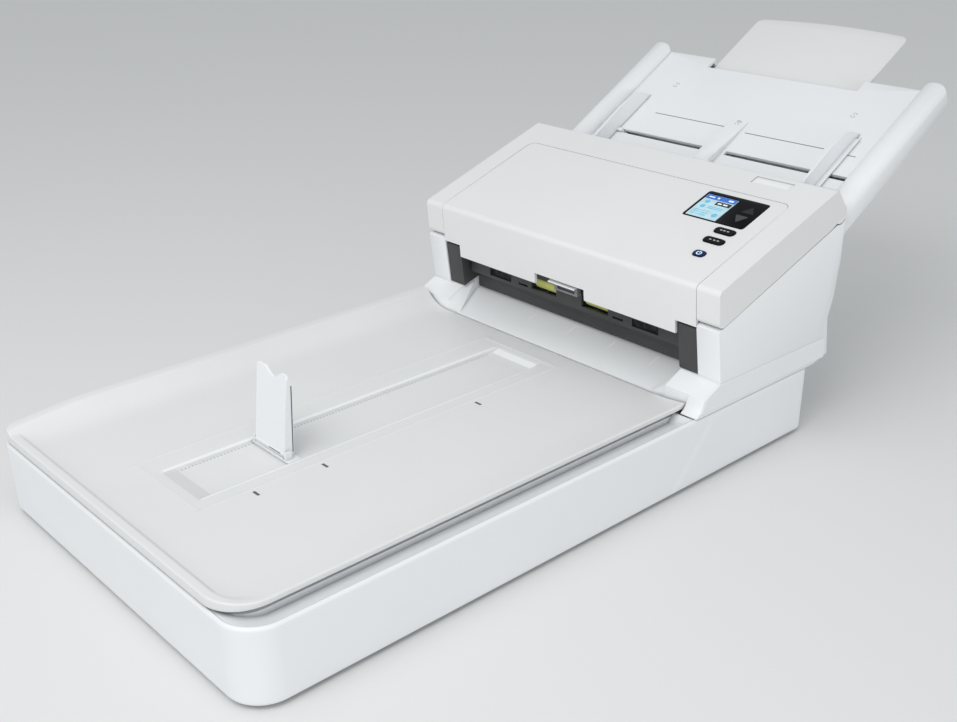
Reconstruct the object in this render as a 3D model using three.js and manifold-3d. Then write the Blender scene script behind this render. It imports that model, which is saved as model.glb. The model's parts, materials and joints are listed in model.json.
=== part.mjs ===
// Sheet fed document scanner: a duplex feeding head with a rear hopper, standing on a flatbed base
// whose lid is also the output tray.
// Millimetres, +Z up, +Y to the rear, +X to the operator's right.
// Pieces are drawn with X = 0 on the centre line, Y = 0 at the front of the base and Z = 0 on the table.
// The finished group is then moved so that its origin is the middle of its footprint.

import * as THREE from 'three';
import { mergeVertices } from 'three/addons/utils/BufferGeometryUtils.js';
import Module from 'manifold-3d';

const wasm = await Module();
wasm.setup();

// ---------------------------------------------------------------- driving dimensions

const HALF_WIDTH = 174.5;
const BASE_LENGTH = 563.5;
const BASE_TOP = 61;
const FOOT_HEIGHT = 3;
const WALL = 2.8;
const GAP = 0.35;
const FRONT_LEFT_CORNER = 12;
const FRONT_RIGHT_CORNER = 28;
const REAR_CORNER = 12;

const LID_REAR = 419;
const LID_RIGHT = 157;
const LID_LEFT = -171.8;
const LID_UNDERSIDE = 61.4;
const LID_FLOOR = 65;
const LID_RIM = 69.5;
const LID_WALL_TOP = 79;
const LID_HINGE_X = -166;
const LID_HINGE_Z = 66.5;

const SLOT_LEFT = -33.5;
const SLOT_RIGHT = 18.5;
const SLOT_FRONT = 62.6;
const SLOT_REAR = 390.5;
const SLOT_FLOOR = 62.7;
const STOPPER_X = -9.5;
const STOPPER_Y = 141;
const STOPPER_TOP = 128.8;
const STOPPER_WIDTH = 38;
const STOPPER_PLATE = 2.8;
const STOPPER_PIVOT_Z = 67.6;
const STOPPER_LEAN = THREE.MathUtils.degToRad(7.2);

const HEAD_FRONT = 432.8;
const MOUTH_HALF = 152;
const PART_LINE_FRONT_Z = 128.7;
const PART_LINE_REAR_Y = 593.3;
const PART_LINE_REAR_Z = 184.9;

const PANEL_SLOPE = THREE.MathUtils.degToRad(18.4);
const PANEL_Y = 430.3;
const PANEL_Z = 161.7;
const PANEL_INSET_LENGTH = 124;
const PANEL_CORNER = 7;

const PIVOT_Y = 586;
const PIVOT_Z = 190;
const PIVOT_BARREL_RADIUS = 8.6;

const PATH_SLOPE = THREE.MathUtils.degToRad(29.5);
const PATH_Y = 629.3;
const PATH_Z = 197.7;
const TRAY_TOP = 133;
const TRAY_FOOT = -58;
const RAIL_FOOT = -27;
const RAIL_FACE_Y = 598;
const RAIL_INNER = 144.5;
const RAIL_OUTER = 169.5;
const RAIL_HEIGHT = 8.5;
const RAIL_END = 136;
const TRAY_DEPTH = 12;
const EXTENSION_TIP = 213;
const EXTENSION_FOOT = 108;
const EXTENSION_HALF = 86;
const EXTENSION_NOTCH = 119;
const EXTENSION_TOP = -6.5;
const EXTENSION_BOTTOM = -9;
const GUIDE_X = 120.5;
const GUIDE_SLOT_V = 10.3;
const PINION_RADIUS = 15;

const EXIT_V = -186;
const UPPER_SENSOR_V = -163;
const LOWER_SENSOR_V = -148;
const DRIVE_V = -125;
const FEED_V = -97;
const PICK_V = -71;
const ROLLER_RADIUS = 9;
const SHAFT_RADIUS = 3;
const GREEN_ROLLER_X = 31;
const GREEN_ROLLER_HALF = 13.5;

const OVERALL_LENGTH = PATH_Y + EXTENSION_TIP * Math.cos(PATH_SLOPE)
  - EXTENSION_BOTTOM * Math.sin(PATH_SLOPE);

// ---------------------------------------------------------------- solids and booleans

// Turns a closed three.js geometry into a solid that can be cut and joined.
function solid(geometry) {
  const bare = geometry.clone();
  bare.deleteAttribute('normal');
  bare.deleteAttribute('uv');
  const merged = mergeVertices(bare, 1e-4);
  return new wasm.Manifold(new wasm.Mesh({
    numProp: 3,
    vertProperties: new Float32Array(merged.attributes.position.array),
    triVerts: new Uint32Array(merged.index.array),
  }));
}

function geometryOf(body) {
  const mesh = body.getMesh();
  const geometry = new THREE.BufferGeometry();
  geometry.setAttribute('position', new THREE.BufferAttribute(new Float32Array(mesh.vertProperties), 3));
  geometry.setIndex(new THREE.BufferAttribute(new Uint32Array(mesh.triVerts), 1));
  geometry.computeVertexNormals();
  return geometry;
}

function join(first, ...others) {
  return others.reduce((sum, other) => sum.add(other), first);
}

function cut(first, ...others) {
  return others.reduce((rest, other) => rest.subtract(other), first);
}

function box(x0, x1, y0, y1, z0, z1) {
  const geometry = new THREE.BoxGeometry(x1 - x0, y1 - y0, z1 - z0);
  geometry.translate((x0 + x1) / 2, (y0 + y1) / 2, (z0 + z1) / 2);
  return solid(geometry);
}

function outline(points) {
  return new THREE.Shape(points.map(([a, b]) => new THREE.Vector2(a, b)));
}

function extrude(shape, depth, segments = 6) {
  return new THREE.ExtrudeGeometry(shape, { depth, bevelEnabled: false, curveSegments: segments });
}

// Plan outline in X and Y, drawn upwards from z0 to z1.
function plate(shape, z0, z1, segments) {
  const geometry = extrude(shape, z1 - z0, segments);
  geometry.translate(0, 0, z0);
  return solid(geometry);
}

// Side outline in Y and Z, drawn from x0 to x1.
function sideways(shape, x0, x1, segments) {
  const geometry = extrude(shape, x1 - x0, segments);
  geometry.applyMatrix4(new THREE.Matrix4().set(0, 0, 1, x0, 1, 0, 0, 0, 0, 1, 0, 0, 0, 0, 0, 1));
  return solid(geometry);
}

// Front outline in X and Z, drawn from y0 back to y1.
function lengthways(shape, y0, y1, segments) {
  const geometry = extrude(shape, y1 - y0, segments);
  geometry.applyMatrix4(new THREE.Matrix4().set(1, 0, 0, 0, 0, 0, -1, y1, 0, 1, 0, 0, 0, 0, 0, 1));
  return solid(geometry);
}

function rod(radius, length, segments = 24) {
  return new THREE.CylinderGeometry(radius, radius, length, segments);
}

function rodX(radius, x0, x1, y, z, segments) {
  const geometry = rod(radius, x1 - x0, segments);
  geometry.rotateZ(Math.PI / 2);
  geometry.translate((x0 + x1) / 2, y, z);
  return solid(geometry);
}

function rodY(radius, y0, y1, x, z, segments) {
  const geometry = rod(radius, y1 - y0, segments);
  geometry.translate(x, (y0 + y1) / 2, z);
  return solid(geometry);
}

function rodZ(radius, z0, z1, x, y, segments) {
  const geometry = rod(radius, z1 - z0, segments);
  geometry.rotateX(Math.PI / 2);
  geometry.translate(x, y, (z0 + z1) / 2);
  return solid(geometry);
}

// Rectangle whose corners may have different radii, in the order front left, front right,
// rear right, rear left.
function roundedOutline(x0, x1, y0, y1, radii) {
  const [a, b, c, d] = radii;
  const shape = new THREE.Shape();
  shape.moveTo(x0 + a, y0);
  shape.lineTo(x1 - b, y0);
  if (b > 0) shape.absarc(x1 - b, y0 + b, b, -Math.PI / 2, 0);
  shape.lineTo(x1, y1 - c);
  if (c > 0) shape.absarc(x1 - c, y1 - c, c, 0, Math.PI / 2);
  shape.lineTo(x0 + d, y1);
  if (d > 0) shape.absarc(x0 + d, y1 - d, d, Math.PI / 2, Math.PI);
  shape.lineTo(x0, y0 + a);
  if (a > 0) shape.absarc(x0 + a, y0 + a, a, Math.PI, Math.PI * 1.5);
  return shape;
}

function evenOutline(x0, x1, y0, y1, radius) {
  return roundedOutline(x0, x1, y0, y1, [radius, radius, radius, radius]);
}

// A spur gear outline with straight-sided teeth.
function gearOutline(rootRadius, tipRadius, teeth) {
  const points = [];
  const pitch = (Math.PI * 2) / teeth;
  for (let tooth = 0; tooth < teeth; tooth += 1) {
    const start = tooth * pitch;
    const corners = [[0.0, rootRadius], [0.3, rootRadius], [0.45, tipRadius], [0.85, tipRadius]];
    for (const [share, radius] of corners) {
      const angle = start + share * pitch;
      points.push([radius * Math.cos(angle), radius * Math.sin(angle)]);
    }
  }
  return outline(points);
}

// Gear whose axis lies along X, at y and z.
function gearX(rootRadius, tipRadius, teeth, x0, x1, y, z) {
  return sideways(gearOutline(rootRadius, tipRadius, teeth), x0, x1).translate([0, y, z]);
}

// ---------------------------------------------------------------- frames and materials

const scanner = new THREE.Group();
scanner.position.y = -OVERALL_LENGTH / 2;

// Frame whose Y runs up the control panel and whose Z stands off it.
const panelFrame = new THREE.Group();
panelFrame.position.set(0, PANEL_Y, PANEL_Z);
panelFrame.rotation.x = PANEL_SLOPE;
scanner.add(panelFrame);

// Frame whose Y runs up the paper path and the hopper, and whose Z stands off the sheet.
const pathFrame = new THREE.Group();
pathFrame.position.set(0, PATH_Y, PATH_Z);
pathFrame.rotation.x = PATH_SLOPE;
scanner.add(pathFrame);

function material(color, roughness, metalness = 0) {
  return new THREE.MeshStandardMaterial({ color, roughness, metalness });
}

const finishes = {
  shell: material('#e2e4e6', 0.45),
  dark: material('#3c3e3e', 0.5),
  glossBlack: material('#0c0d0f', 0.12),
  screen: material('#8fc7dd', 0.15),
  glass: material('#b9c8c6', 0.05),
  foam: material('#f2f2ee', 0.9),
  rubber: material('#2b2b2c', 0.85),
  green: material('#bec450', 0.6),
  steel: material('#9fa3a6', 0.3, 0.9),
  plastic: material('#55585b', 0.6),
  nylon: material('#e9e6da', 0.55),
  board: material('#1f5a3a', 0.5),
  navy: material('#1c3c74', 0.3),
};

function add(name, body, finish, parent = scanner) {
  const mesh = new THREE.Mesh(geometryOf(body), finishes[finish].clone());
  mesh.name = name;
  parent.add(mesh);
}

// ---------------------------------------------------------------- flatbed base

const PLATEN_TOP = 58;
const PLATEN_HALF = 110;
const PLATEN_FRONT = 25;
const PLATEN_REAR = 385;
const CARRIAGE_Y = 410;
const RAIL_X = -60;
const RAIL_Z = 22;
const BELT_X = 100;
const BELT_FRONT = 32;
const BELT_REAR = 452;
const BELT_Z = 29;
const PULLEY_RADIUS = 9.5;
const FOOT_X = 140;
const FOOT_FRONT = 45;
const FOOT_REAR = 520;

function baseShell() {
  const outer = plate(
    roundedOutline(-HALF_WIDTH, HALF_WIDTH, 0, BASE_LENGTH,
      [FRONT_LEFT_CORNER, FRONT_RIGHT_CORNER, REAR_CORNER, REAR_CORNER]),
    FOOT_HEIGHT, BASE_TOP, 8,
  );
  const inner = plate(
    roundedOutline(-HALF_WIDTH + WALL, HALF_WIDTH - WALL, WALL, BASE_LENGTH - WALL,
      [FRONT_LEFT_CORNER - WALL, FRONT_RIGHT_CORNER - WALL, REAR_CORNER - WALL, REAR_CORNER - WALL]),
    FOOT_HEIGHT + WALL, BASE_TOP + 1, 8,
  );
  const idlerPost = join(
    rodZ(2.4, FOOT_HEIGHT + 1, BELT_Z + 5, BELT_X, BELT_FRONT, 20),
    rodZ(7, FOOT_HEIGHT + 1, BELT_Z - 4, BELT_X, BELT_FRONT, 20),
  );
  return join(cut(outer, inner), idlerPost);
}

function platenFrame() {
  const inset = WALL + GAP;
  const plan = plate(
    roundedOutline(-HALF_WIDTH + inset, HALF_WIDTH - inset, inset, LID_REAR,
      [FRONT_LEFT_CORNER - inset, FRONT_RIGHT_CORNER - inset, 0, 0]),
    49, BASE_TOP - 0.5, 8,
  );
  const lowered = box(-HALF_WIDTH, LID_RIGHT, -1, LID_REAR + 1, PLATEN_TOP, BASE_TOP + 1);
  const trough = lengthways(outline([
    [LID_RIGHT - 3, BASE_TOP + 1],
    [LID_RIGHT - 3, PLATEN_TOP - 5],
    [HALF_WIDTH - inset + 0.1, BASE_TOP - 0.6],
    [HALF_WIDTH - inset + 0.1, BASE_TOP + 1],
  ]), -1, LID_REAR + 1);
  const seat = box(-PLATEN_HALF - 8, PLATEN_HALF + 8, PLATEN_FRONT - 8, PLATEN_REAR + 8,
    PLATEN_TOP - 4, PLATEN_TOP + 1);
  const window = box(-PLATEN_HALF, PLATEN_HALF, PLATEN_FRONT, PLATEN_REAR, 40, PLATEN_TOP);
  const underside = box(-150, 150, 14, LID_REAR + 1, 40, 52);
  const shelled = cut(plan, lowered, trough, seat, window, underside);
  return cut(shelled, box(-HALF_WIDTH, -140, 28, 92, PLATEN_TOP - 3, BASE_TOP + 1),
    box(-HALF_WIDTH, -140, 328, 392, PLATEN_TOP - 3, BASE_TOP + 1));
}

function platenGlass() {
  return box(-PLATEN_HALF - 7.6, PLATEN_HALF + 7.6, PLATEN_FRONT - 7.6, PLATEN_REAR + 7.6,
    PLATEN_TOP - 3.6, PLATEN_TOP - 0.4);
}

function guideRod() {
  return rodY(4, WALL + 4, 445, RAIL_X, RAIL_Z);
}

function scanCarriage() {
  const bar = box(-122, 122, CARRIAGE_Y - 14, CARRIAGE_Y + 14, 36, 42);
  const channel = cut(
    box(-118, 118, CARRIAGE_Y - 10, CARRIAGE_Y + 10, 42, 46),
    box(-113, 113, CARRIAGE_Y - 7, CARRIAGE_Y + 7, 41, 47),
  );
  const saddle = cut(
    box(RAIL_X - 10, RAIL_X + 10, CARRIAGE_Y - 16, CARRIAGE_Y + 16, 15, 36.5),
    rodY(4.35, CARRIAGE_Y - 20, CARRIAGE_Y + 20, RAIL_X, RAIL_Z),
  );
  const clamp = box(BELT_X - 7, BELT_X + 7, CARRIAGE_Y - 6, CARRIAGE_Y + 6, 24, 36.5);
  return join(bar, channel, saddle, clamp);
}

function flatbedSensor() {
  return box(-112.5, 112.5, CARRIAGE_Y - 6.5, CARRIAGE_Y + 6.5, 42.4, 49.5);
}

function beltLoop() {
  const stadium = (radius) => {
    const shape = new THREE.Shape();
    shape.absarc(BELT_X, BELT_REAR, radius, 0, Math.PI);
    shape.absarc(BELT_X, BELT_FRONT, radius, Math.PI, Math.PI * 2);
    return shape;
  };
  const shape = stadium(PULLEY_RADIUS + 1.6);
  shape.holes.push(stadium(PULLEY_RADIUS + GAP));
  return plate(shape, BELT_Z - 3, BELT_Z + 3, 10);
}

function beltPulley(y) {
  const wheel = rodZ(PULLEY_RADIUS, BELT_Z - 3, BELT_Z + 3, BELT_X, y, 28);
  return cut(wheel, rodZ(2.8, BELT_Z - 5, BELT_Z + 5, BELT_X, y, 20));
}

function carriageMotor() {
  return join(
    rodZ(17.5, FOOT_HEIGHT + WALL + GAP, BELT_Z - 5, BELT_X, BELT_REAR, 32),
    rodZ(2.4, BELT_Z - 6, BELT_Z + 6, BELT_X, BELT_REAR, 20),
  );
}

function circuitBoard(x0, x1, y0, y1, z) {
  const board = box(x0, x1, y0, y1, z, z + 1.6);
  const width = x1 - x0;
  const depth = y1 - y0;
  const chips = [[0.15, 0.3, 0.12], [0.42, 0.5, 0.16], [0.72, 0.4, 0.1]].map(([across, along, size]) => {
    const cx = x0 + across * width;
    const cy = y0 + along * depth;
    const half = (size * depth) / 0.8;
    return box(cx - half, cx + half, cy - half, cy + half, z + 1, z + 5);
  });
  return join(board, ...chips);
}

function foot(x, y) {
  return rodZ(10, 0, FOOT_HEIGHT - GAP, x, y, 28);
}

function lidHingeBracket(y) {
  const block = box(LID_HINGE_X - 4, -150, y - 12, y + 12, PLATEN_TOP - 2.6, PLATEN_TOP + 1.5);
  const arm = box(LID_HINGE_X - 3.6, LID_HINGE_X + 3.6, y - 8, y + 8, PLATEN_TOP + 1, LID_HINGE_Z);
  const pin = rodY(2.2, y - 22, y + 22, LID_HINGE_X, LID_HINGE_Z, 20);
  return join(block, arm, rodY(3.6, y - 8, y + 8, LID_HINGE_X, LID_HINGE_Z, 24), pin);
}

const LID_HINGES = [60, 360];

add('base_shell', baseShell(), 'shell');
add('platen_frame', platenFrame(), 'shell');
add('platen_glass', platenGlass(), 'glass');
add('carriage_guide_rod', guideRod(), 'steel');
add('scan_carriage', scanCarriage(), 'plastic');
add('flatbed_sensor', flatbedSensor(), 'dark');
add('carriage_belt', beltLoop(), 'rubber');
add('belt_drive_pulley', beltPulley(BELT_REAR), 'nylon');
add('belt_idler_pulley', beltPulley(BELT_FRONT), 'nylon');
add('carriage_motor', carriageMotor(), 'steel');
add('base_board', circuitBoard(-140, 40, 462, 545, 14), 'board');
add('foot_front_left', foot(-FOOT_X, FOOT_FRONT), 'rubber');
add('foot_front_right', foot(FOOT_X, FOOT_FRONT), 'rubber');
add('foot_rear_left', foot(-FOOT_X, FOOT_REAR), 'rubber');
add('foot_rear_right', foot(FOOT_X, FOOT_REAR), 'rubber');
add('lid_hinge_front', lidHingeBracket(LID_HINGES[0]), 'steel');
add('lid_hinge_rear', lidHingeBracket(LID_HINGES[1]), 'steel');

// ---------------------------------------------------------------- document lid and paper stopper

function lidSection() {
  const shape = new THREE.Shape();
  shape.moveTo(LID_LEFT + 1.5, LID_UNDERSIDE);
  shape.lineTo(LID_RIGHT - 2, LID_UNDERSIDE + 0.8);
  shape.lineTo(LID_RIGHT, LID_UNDERSIDE + 3.2);
  shape.lineTo(LID_RIGHT - 0.5, LID_RIM - 1.5);
  shape.quadraticCurveTo(LID_RIGHT - 14, LID_FLOOR, LID_RIGHT - 35, LID_FLOOR);
  shape.lineTo(LID_HINGE_X + 35, LID_FLOOR);
  shape.quadraticCurveTo(LID_HINGE_X + 8, LID_FLOOR, LID_HINGE_X + 5, LID_WALL_TOP - 1);
  shape.lineTo(LID_HINGE_X + 2, LID_WALL_TOP);
  shape.lineTo(LID_LEFT + 2, LID_WALL_TOP - 1);
  shape.lineTo(LID_LEFT, LID_WALL_TOP - 5);
  shape.lineTo(LID_LEFT, LID_UNDERSIDE + 1.5);
  return shape;
}

function documentLid() {
  const length = LID_REAR - 1.5;
  const sheet = lengthways(lidSection(), 1.5, LID_REAR, 6);
  const rim = lengthways(outline([
    [LID_LEFT, LID_UNDERSIDE],
    [LID_RIGHT, LID_UNDERSIDE],
    [LID_RIGHT, LID_RIM],
    [LID_LEFT, LID_RIM],
  ]), 1.5, 8.5);
  const plan = plate(
    roundedOutline(LID_LEFT, LID_RIGHT, 1.5, 1.5 + length, [FRONT_LEFT_CORNER - 2,
      FRONT_RIGHT_CORNER + 2, 4, 0]),
    LID_UNDERSIDE - 5, LID_WALL_TOP + 5, 8,
  );
  const slot = box(SLOT_LEFT, SLOT_RIGHT, SLOT_FRONT, SLOT_REAR, SLOT_FLOOR, LID_FLOOR + 5);
  let lid = cut(join(sheet, rim).intersect(plan), slot);
  for (const y of LID_HINGES) {
    lid = cut(lid,
      box(LID_LEFT - 1, LID_HINGE_X + 5.5, y - 9, y + 9, LID_UNDERSIDE - 2, LID_HINGE_Z + 4.2),
      rodY(2.6, y - 24, y + 24, LID_HINGE_X, LID_HINGE_Z, 20));
  }
  return lid;
}

function lidPad() {
  return box(-112, 112, PLATEN_FRONT - 2, PLATEN_REAR + 2, PLATEN_TOP + 0.2, LID_UNDERSIDE - GAP);
}

// Y of the stopper's front face, which leans back towards the head.
function stopperFaceY(z) {
  return STOPPER_Y - 2.8 + (z - SLOT_FLOOR) * Math.tan(STOPPER_LEAN);
}

// Shoe that slides in the slot: a thin plate, a low bar under the stopper's front face and two ears.
function stopperSlide() {
  const half = STOPPER_WIDTH / 2;
  const plateFoot = SLOT_FLOOR + 0.3;
  const plateTop = SLOT_FLOOR + 1.5;
  const shoe = box(SLOT_LEFT + 1, SLOT_RIGHT - 1, STOPPER_Y - 3.6, STOPPER_Y + 8, plateFoot, plateTop);
  const bar = box(STOPPER_X - half, STOPPER_X + half, STOPPER_Y - 3.6, STOPPER_Y - 2.3, plateFoot,
    plateTop + 1.1);
  const ears = [-1, 1].map((side) => {
    const inner = STOPPER_X + side * (half + 0.8);
    const outer = STOPPER_X + side * (half + 2.8);
    return box(Math.min(inner, outer), Math.max(inner, outer), STOPPER_Y - 2.8, STOPPER_Y + 2.8,
      plateFoot + 0.5, STOPPER_PIVOT_Z + 2.6);
  });
  const bore = rodX(1.9, STOPPER_X - 30, STOPPER_X + 30, STOPPER_Y, STOPPER_PIVOT_Z, 16);
  return cut(join(shoe, bar, ...ears), bore);
}

// Leaning plate with a side flange at each edge. Its wavy top edge has a tall left peak, a dip and
// a second, rounded peak.
function paperStopper() {
  const left = STOPPER_X - STOPPER_WIDTH / 2;
  const right = STOPPER_X + STOPPER_WIDTH / 2;
  const foot = STOPPER_PIVOT_Z - 1.5;
  const wave = new THREE.Shape();
  wave.moveTo(left, foot - 3);
  wave.lineTo(right, foot - 3);
  wave.lineTo(right, STOPPER_TOP - 3);
  wave.quadraticCurveTo(right - 1, STOPPER_TOP, STOPPER_X + 14, STOPPER_TOP);
  wave.quadraticCurveTo(STOPPER_X + 8, STOPPER_TOP, STOPPER_X + 5, STOPPER_TOP - 3);
  wave.quadraticCurveTo(STOPPER_X, STOPPER_TOP - 7.5, STOPPER_X - 4, STOPPER_TOP - 3);
  wave.quadraticCurveTo(STOPPER_X - 7, STOPPER_TOP, STOPPER_X - 12, STOPPER_TOP);
  wave.lineTo(left + 1, STOPPER_TOP);
  wave.lineTo(left, STOPPER_TOP - 1);
  const board = sideways(outline([
    [stopperFaceY(foot), foot],
    [stopperFaceY(foot) + STOPPER_PLATE, foot],
    [stopperFaceY(STOPPER_TOP) + STOPPER_PLATE, STOPPER_TOP],
    [stopperFaceY(STOPPER_TOP), STOPPER_TOP],
  ]), left, right).intersect(lengthways(wave, STOPPER_Y - 20, STOPPER_Y + 20, 4));
  const flanges = [left, right - 1.8].map((x) => sideways(outline([
    [stopperFaceY(foot) + 1, foot],
    [STOPPER_Y + 4.8, foot],
    [stopperFaceY(STOPPER_TOP) + 3.4, STOPPER_TOP - 6],
    [stopperFaceY(STOPPER_TOP) + 0.6, STOPPER_TOP - 6],
  ]), x, x + 1.8));
  const barrel = rodX(2.6, left, right, STOPPER_Y, STOPPER_PIVOT_Z, 20);
  const bore = rodX(1.9, STOPPER_X - 30, STOPPER_X + 30, STOPPER_Y, STOPPER_PIVOT_Z, 16);
  return cut(join(board, barrel, ...flanges), bore);
}

function stopperPin() {
  const reach = STOPPER_WIDTH / 2 + 3.0;
  return rodX(1.5, STOPPER_X - reach, STOPPER_X + reach, STOPPER_Y, STOPPER_PIVOT_Z, 16);
}

add('document_lid', documentLid(), 'shell');
add('lid_pad', lidPad(), 'foam');
add('stopper_slide', stopperSlide(), 'shell');
add('paper_stopper', paperStopper(), 'shell');
add('stopper_pin', stopperPin(), 'steel');

// ---------------------------------------------------------------- head, fixed part

function partLineZ(y) {
  const slope = (PART_LINE_REAR_Z - PART_LINE_FRONT_Z) / (PART_LINE_REAR_Y - HEAD_FRONT);
  return PART_LINE_FRONT_Z + (y - HEAD_FRONT) * slope;
}

// Height of the paper path, raised by a distance square to the sheet.
function pathZ(y, offset = 0) {
  return PATH_Z + (y - PATH_Y) * Math.tan(PATH_SLOPE) + offset / Math.cos(PATH_SLOPE);
}

const LEDGE_HALF = 134;
const PANEL_FACE_Y = 459;
const HEAD_FLOOR = BASE_TOP + GAP;
const SHELF_FRONT_Y = 438.9;
const SHELF_FRONT_Z = 84;
const COLUMN_TOP = 124.6;
const CHEEK_WIDTH = 15;

function headHousing() {
  const profile = outline([
    [LID_REAR + 0.6, HEAD_FLOOR],
    [LID_REAR + 0.6, 65.5],
    [420.3, 75.1],
    [438.6, 83.6],
    [HEAD_FRONT, PART_LINE_FRONT_Z],
    [PART_LINE_REAR_Y, PART_LINE_REAR_Z],
    [592, 148],
    [587, 117],
    [581, 100],
    [585, 66],
    [565, HEAD_FLOOR],
  ]);
  const body = sideways(profile, -HALF_WIDTH, HALF_WIDTH);
  const mouth = sideways(outline([
    [LID_REAR - 5, 65.3],
    [LID_REAR + 0.6, 65.3],
    [PANEL_FACE_Y + 4, 79],
    [PANEL_FACE_Y + 4, 220],
    [LID_REAR - 5, 220],
  ]), -LEDGE_HALF, LEDGE_HALF);
  const shelf = sideways(outline([
    [LID_REAR + 6, SHELF_FRONT_Z],
    [SHELF_FRONT_Y, SHELF_FRONT_Z],
    [PANEL_FACE_Y + 4, 91],
    [PANEL_FACE_Y + 4, 220],
    [LID_REAR + 6, 220],
  ]), -MOUTH_HALF, MOUTH_HALF);
  const interior = sideways(outline([
    [PANEL_FACE_Y + 3.5, HEAD_FLOOR + WALL],
    [PANEL_FACE_Y + 3.5, 220],
    [592, 220],
    [589.2, 148],
    [584.2, 118],
    [578.2, 100],
    [581.8, HEAD_FLOOR + WALL],
  ]), -HALF_WIDTH + WALL, HALF_WIDTH - WALL);
  const rearNotch = box(-MOUTH_HALF, MOUTH_HALF, 560, 620, 166, 230);
  const underRamp = sideways(outline([
    [428, HEAD_FLOOR - 1],
    [428, 64.5],
    [PANEL_FACE_Y, 74.5],
    [PANEL_FACE_Y, HEAD_FLOOR - 1],
  ]), -LEDGE_HALF + WALL, LEDGE_HALF - WALL);
  const pillars = [-1, 1].map((side) => {
    const outer = side * (HALF_WIDTH - WALL);
    const inner = side * (MOUTH_HALF + WALL);
    return box(Math.min(outer, inner), Math.max(outer, inner), 442, PANEL_FACE_Y + 6, 85, 200);
  });
  const softCorner = sideways(outline([
    [HEAD_FRONT - 2, PART_LINE_FRONT_Z + 4],
    [HEAD_FRONT - 2, PART_LINE_FRONT_Z - 2.5],
    [HEAD_FRONT + 5, PART_LINE_FRONT_Z + 4],
  ]), -HALF_WIDTH - 1, HALF_WIDTH + 1);
  const hingeSeat = rodX(9.4, -HALF_WIDTH - 1, HALF_WIDTH + 1, PIVOT_Y, PIVOT_Z, 32);
  const sockets = box(60, 130, 570, 600, 84, 102);
  const toe = sideways(outline([
    [LID_REAR + 2, HEAD_FLOOR],
    [LID_REAR + 2, 75.4],
    [LID_REAR + 1.3, 75.1],
    [417.6, 69],
    [414.8, 64.8],
    [411, 62.2],
    [411, HEAD_FLOOR],
  ]), LID_RIGHT + 1.5, HALF_WIDTH);
  const hollowed = cut(body, mouth, shelf, interior, rearNotch, underRamp, ...pillars, softCorner,
    hingeSeat, sockets);
  return join(hollowed, toe, rampCheek(-1), rampCheek(1));
}

// Slanting cheek between the ramp and the shelf beside it: wide at the front, nothing at the back.
function rampCheek(side) {
  const wide = side * (LEDGE_HALF - CHEEK_WIDTH);
  const back = side * (LEDGE_HALF + 1);
  const front = LID_REAR + 0.6;
  return wasm.Manifold.hull([
    [wide, front, 65.2],
    [back, front, 65.2],
    [back, front + 0.7, 75],
    [wide, front + 2, 65.8],
    [back, PANEL_FACE_Y - 2, 77],
    [back, SHELF_FRONT_Y - 1, 83],
    [back, PANEL_FACE_Y - 2, 88],
  ]);
}

function exitFrame() {
  const panel = sideways(outline([
    [PANEL_FACE_Y, 79.5],
    [PANEL_FACE_Y, pathZ(PANEL_FACE_Y, -6)],
    [PANEL_FACE_Y + 3, pathZ(PANEL_FACE_Y + 3, -6)],
    [PANEL_FACE_Y + 3, 80.5],
  ]), -LEDGE_HALF + GAP, LEDGE_HALF - GAP);
  const columns = [-1, 1].map((side) => {
    const inner = side * (LEDGE_HALF - 2);
    const outer = side * (MOUTH_HALF - GAP);
    return sideways(outline([
      [SHELF_FRONT_Y + 0.5, SHELF_FRONT_Z + 0.4],
      [HEAD_FRONT + 1.8, COLUMN_TOP],
      [PANEL_FACE_Y + 3, COLUMN_TOP],
      [PANEL_FACE_Y + 3, 91.6],
    ]), Math.min(inner, outer), Math.max(inner, outer));
  });
  const lap = [-1, 1].map((side) => {
    const inner = side * (LEDGE_HALF - 6);
    const outer = side * (LEDGE_HALF + 4);
    return box(Math.min(inner, outer), Math.max(inner, outer), PANEL_FACE_Y, PANEL_FACE_Y + 3, 92, 97);
  });
  return join(panel, ...columns, ...lap);
}

// Rollers, guides and sensors are drawn in the path frame: y is v, z is the height off the sheet.

function rollerWindows(list, low, high) {
  return list.map(([x, halfWidth, v, reach]) => box(x - halfWidth - 1, x + halfWidth + 1,
    v - reach, v + reach, low, high));
}

const DRIVE_HALF = 60;
const EXIT_GEAR_RADIUS = 14;

function pairs(x, halfWidth, v, reach) {
  return [[-x, halfWidth, v, reach], [x, halfWidth, v, reach]];
}

function shaftBores(places, radius, from, to) {
  return places.map(([v, h]) => rodX(radius, from, to, v, h, 20));
}

const LOWER_SIDE = 138;
const LOWER_SHAFT_H = -ROLLER_RADIUS - 0.2;

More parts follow.
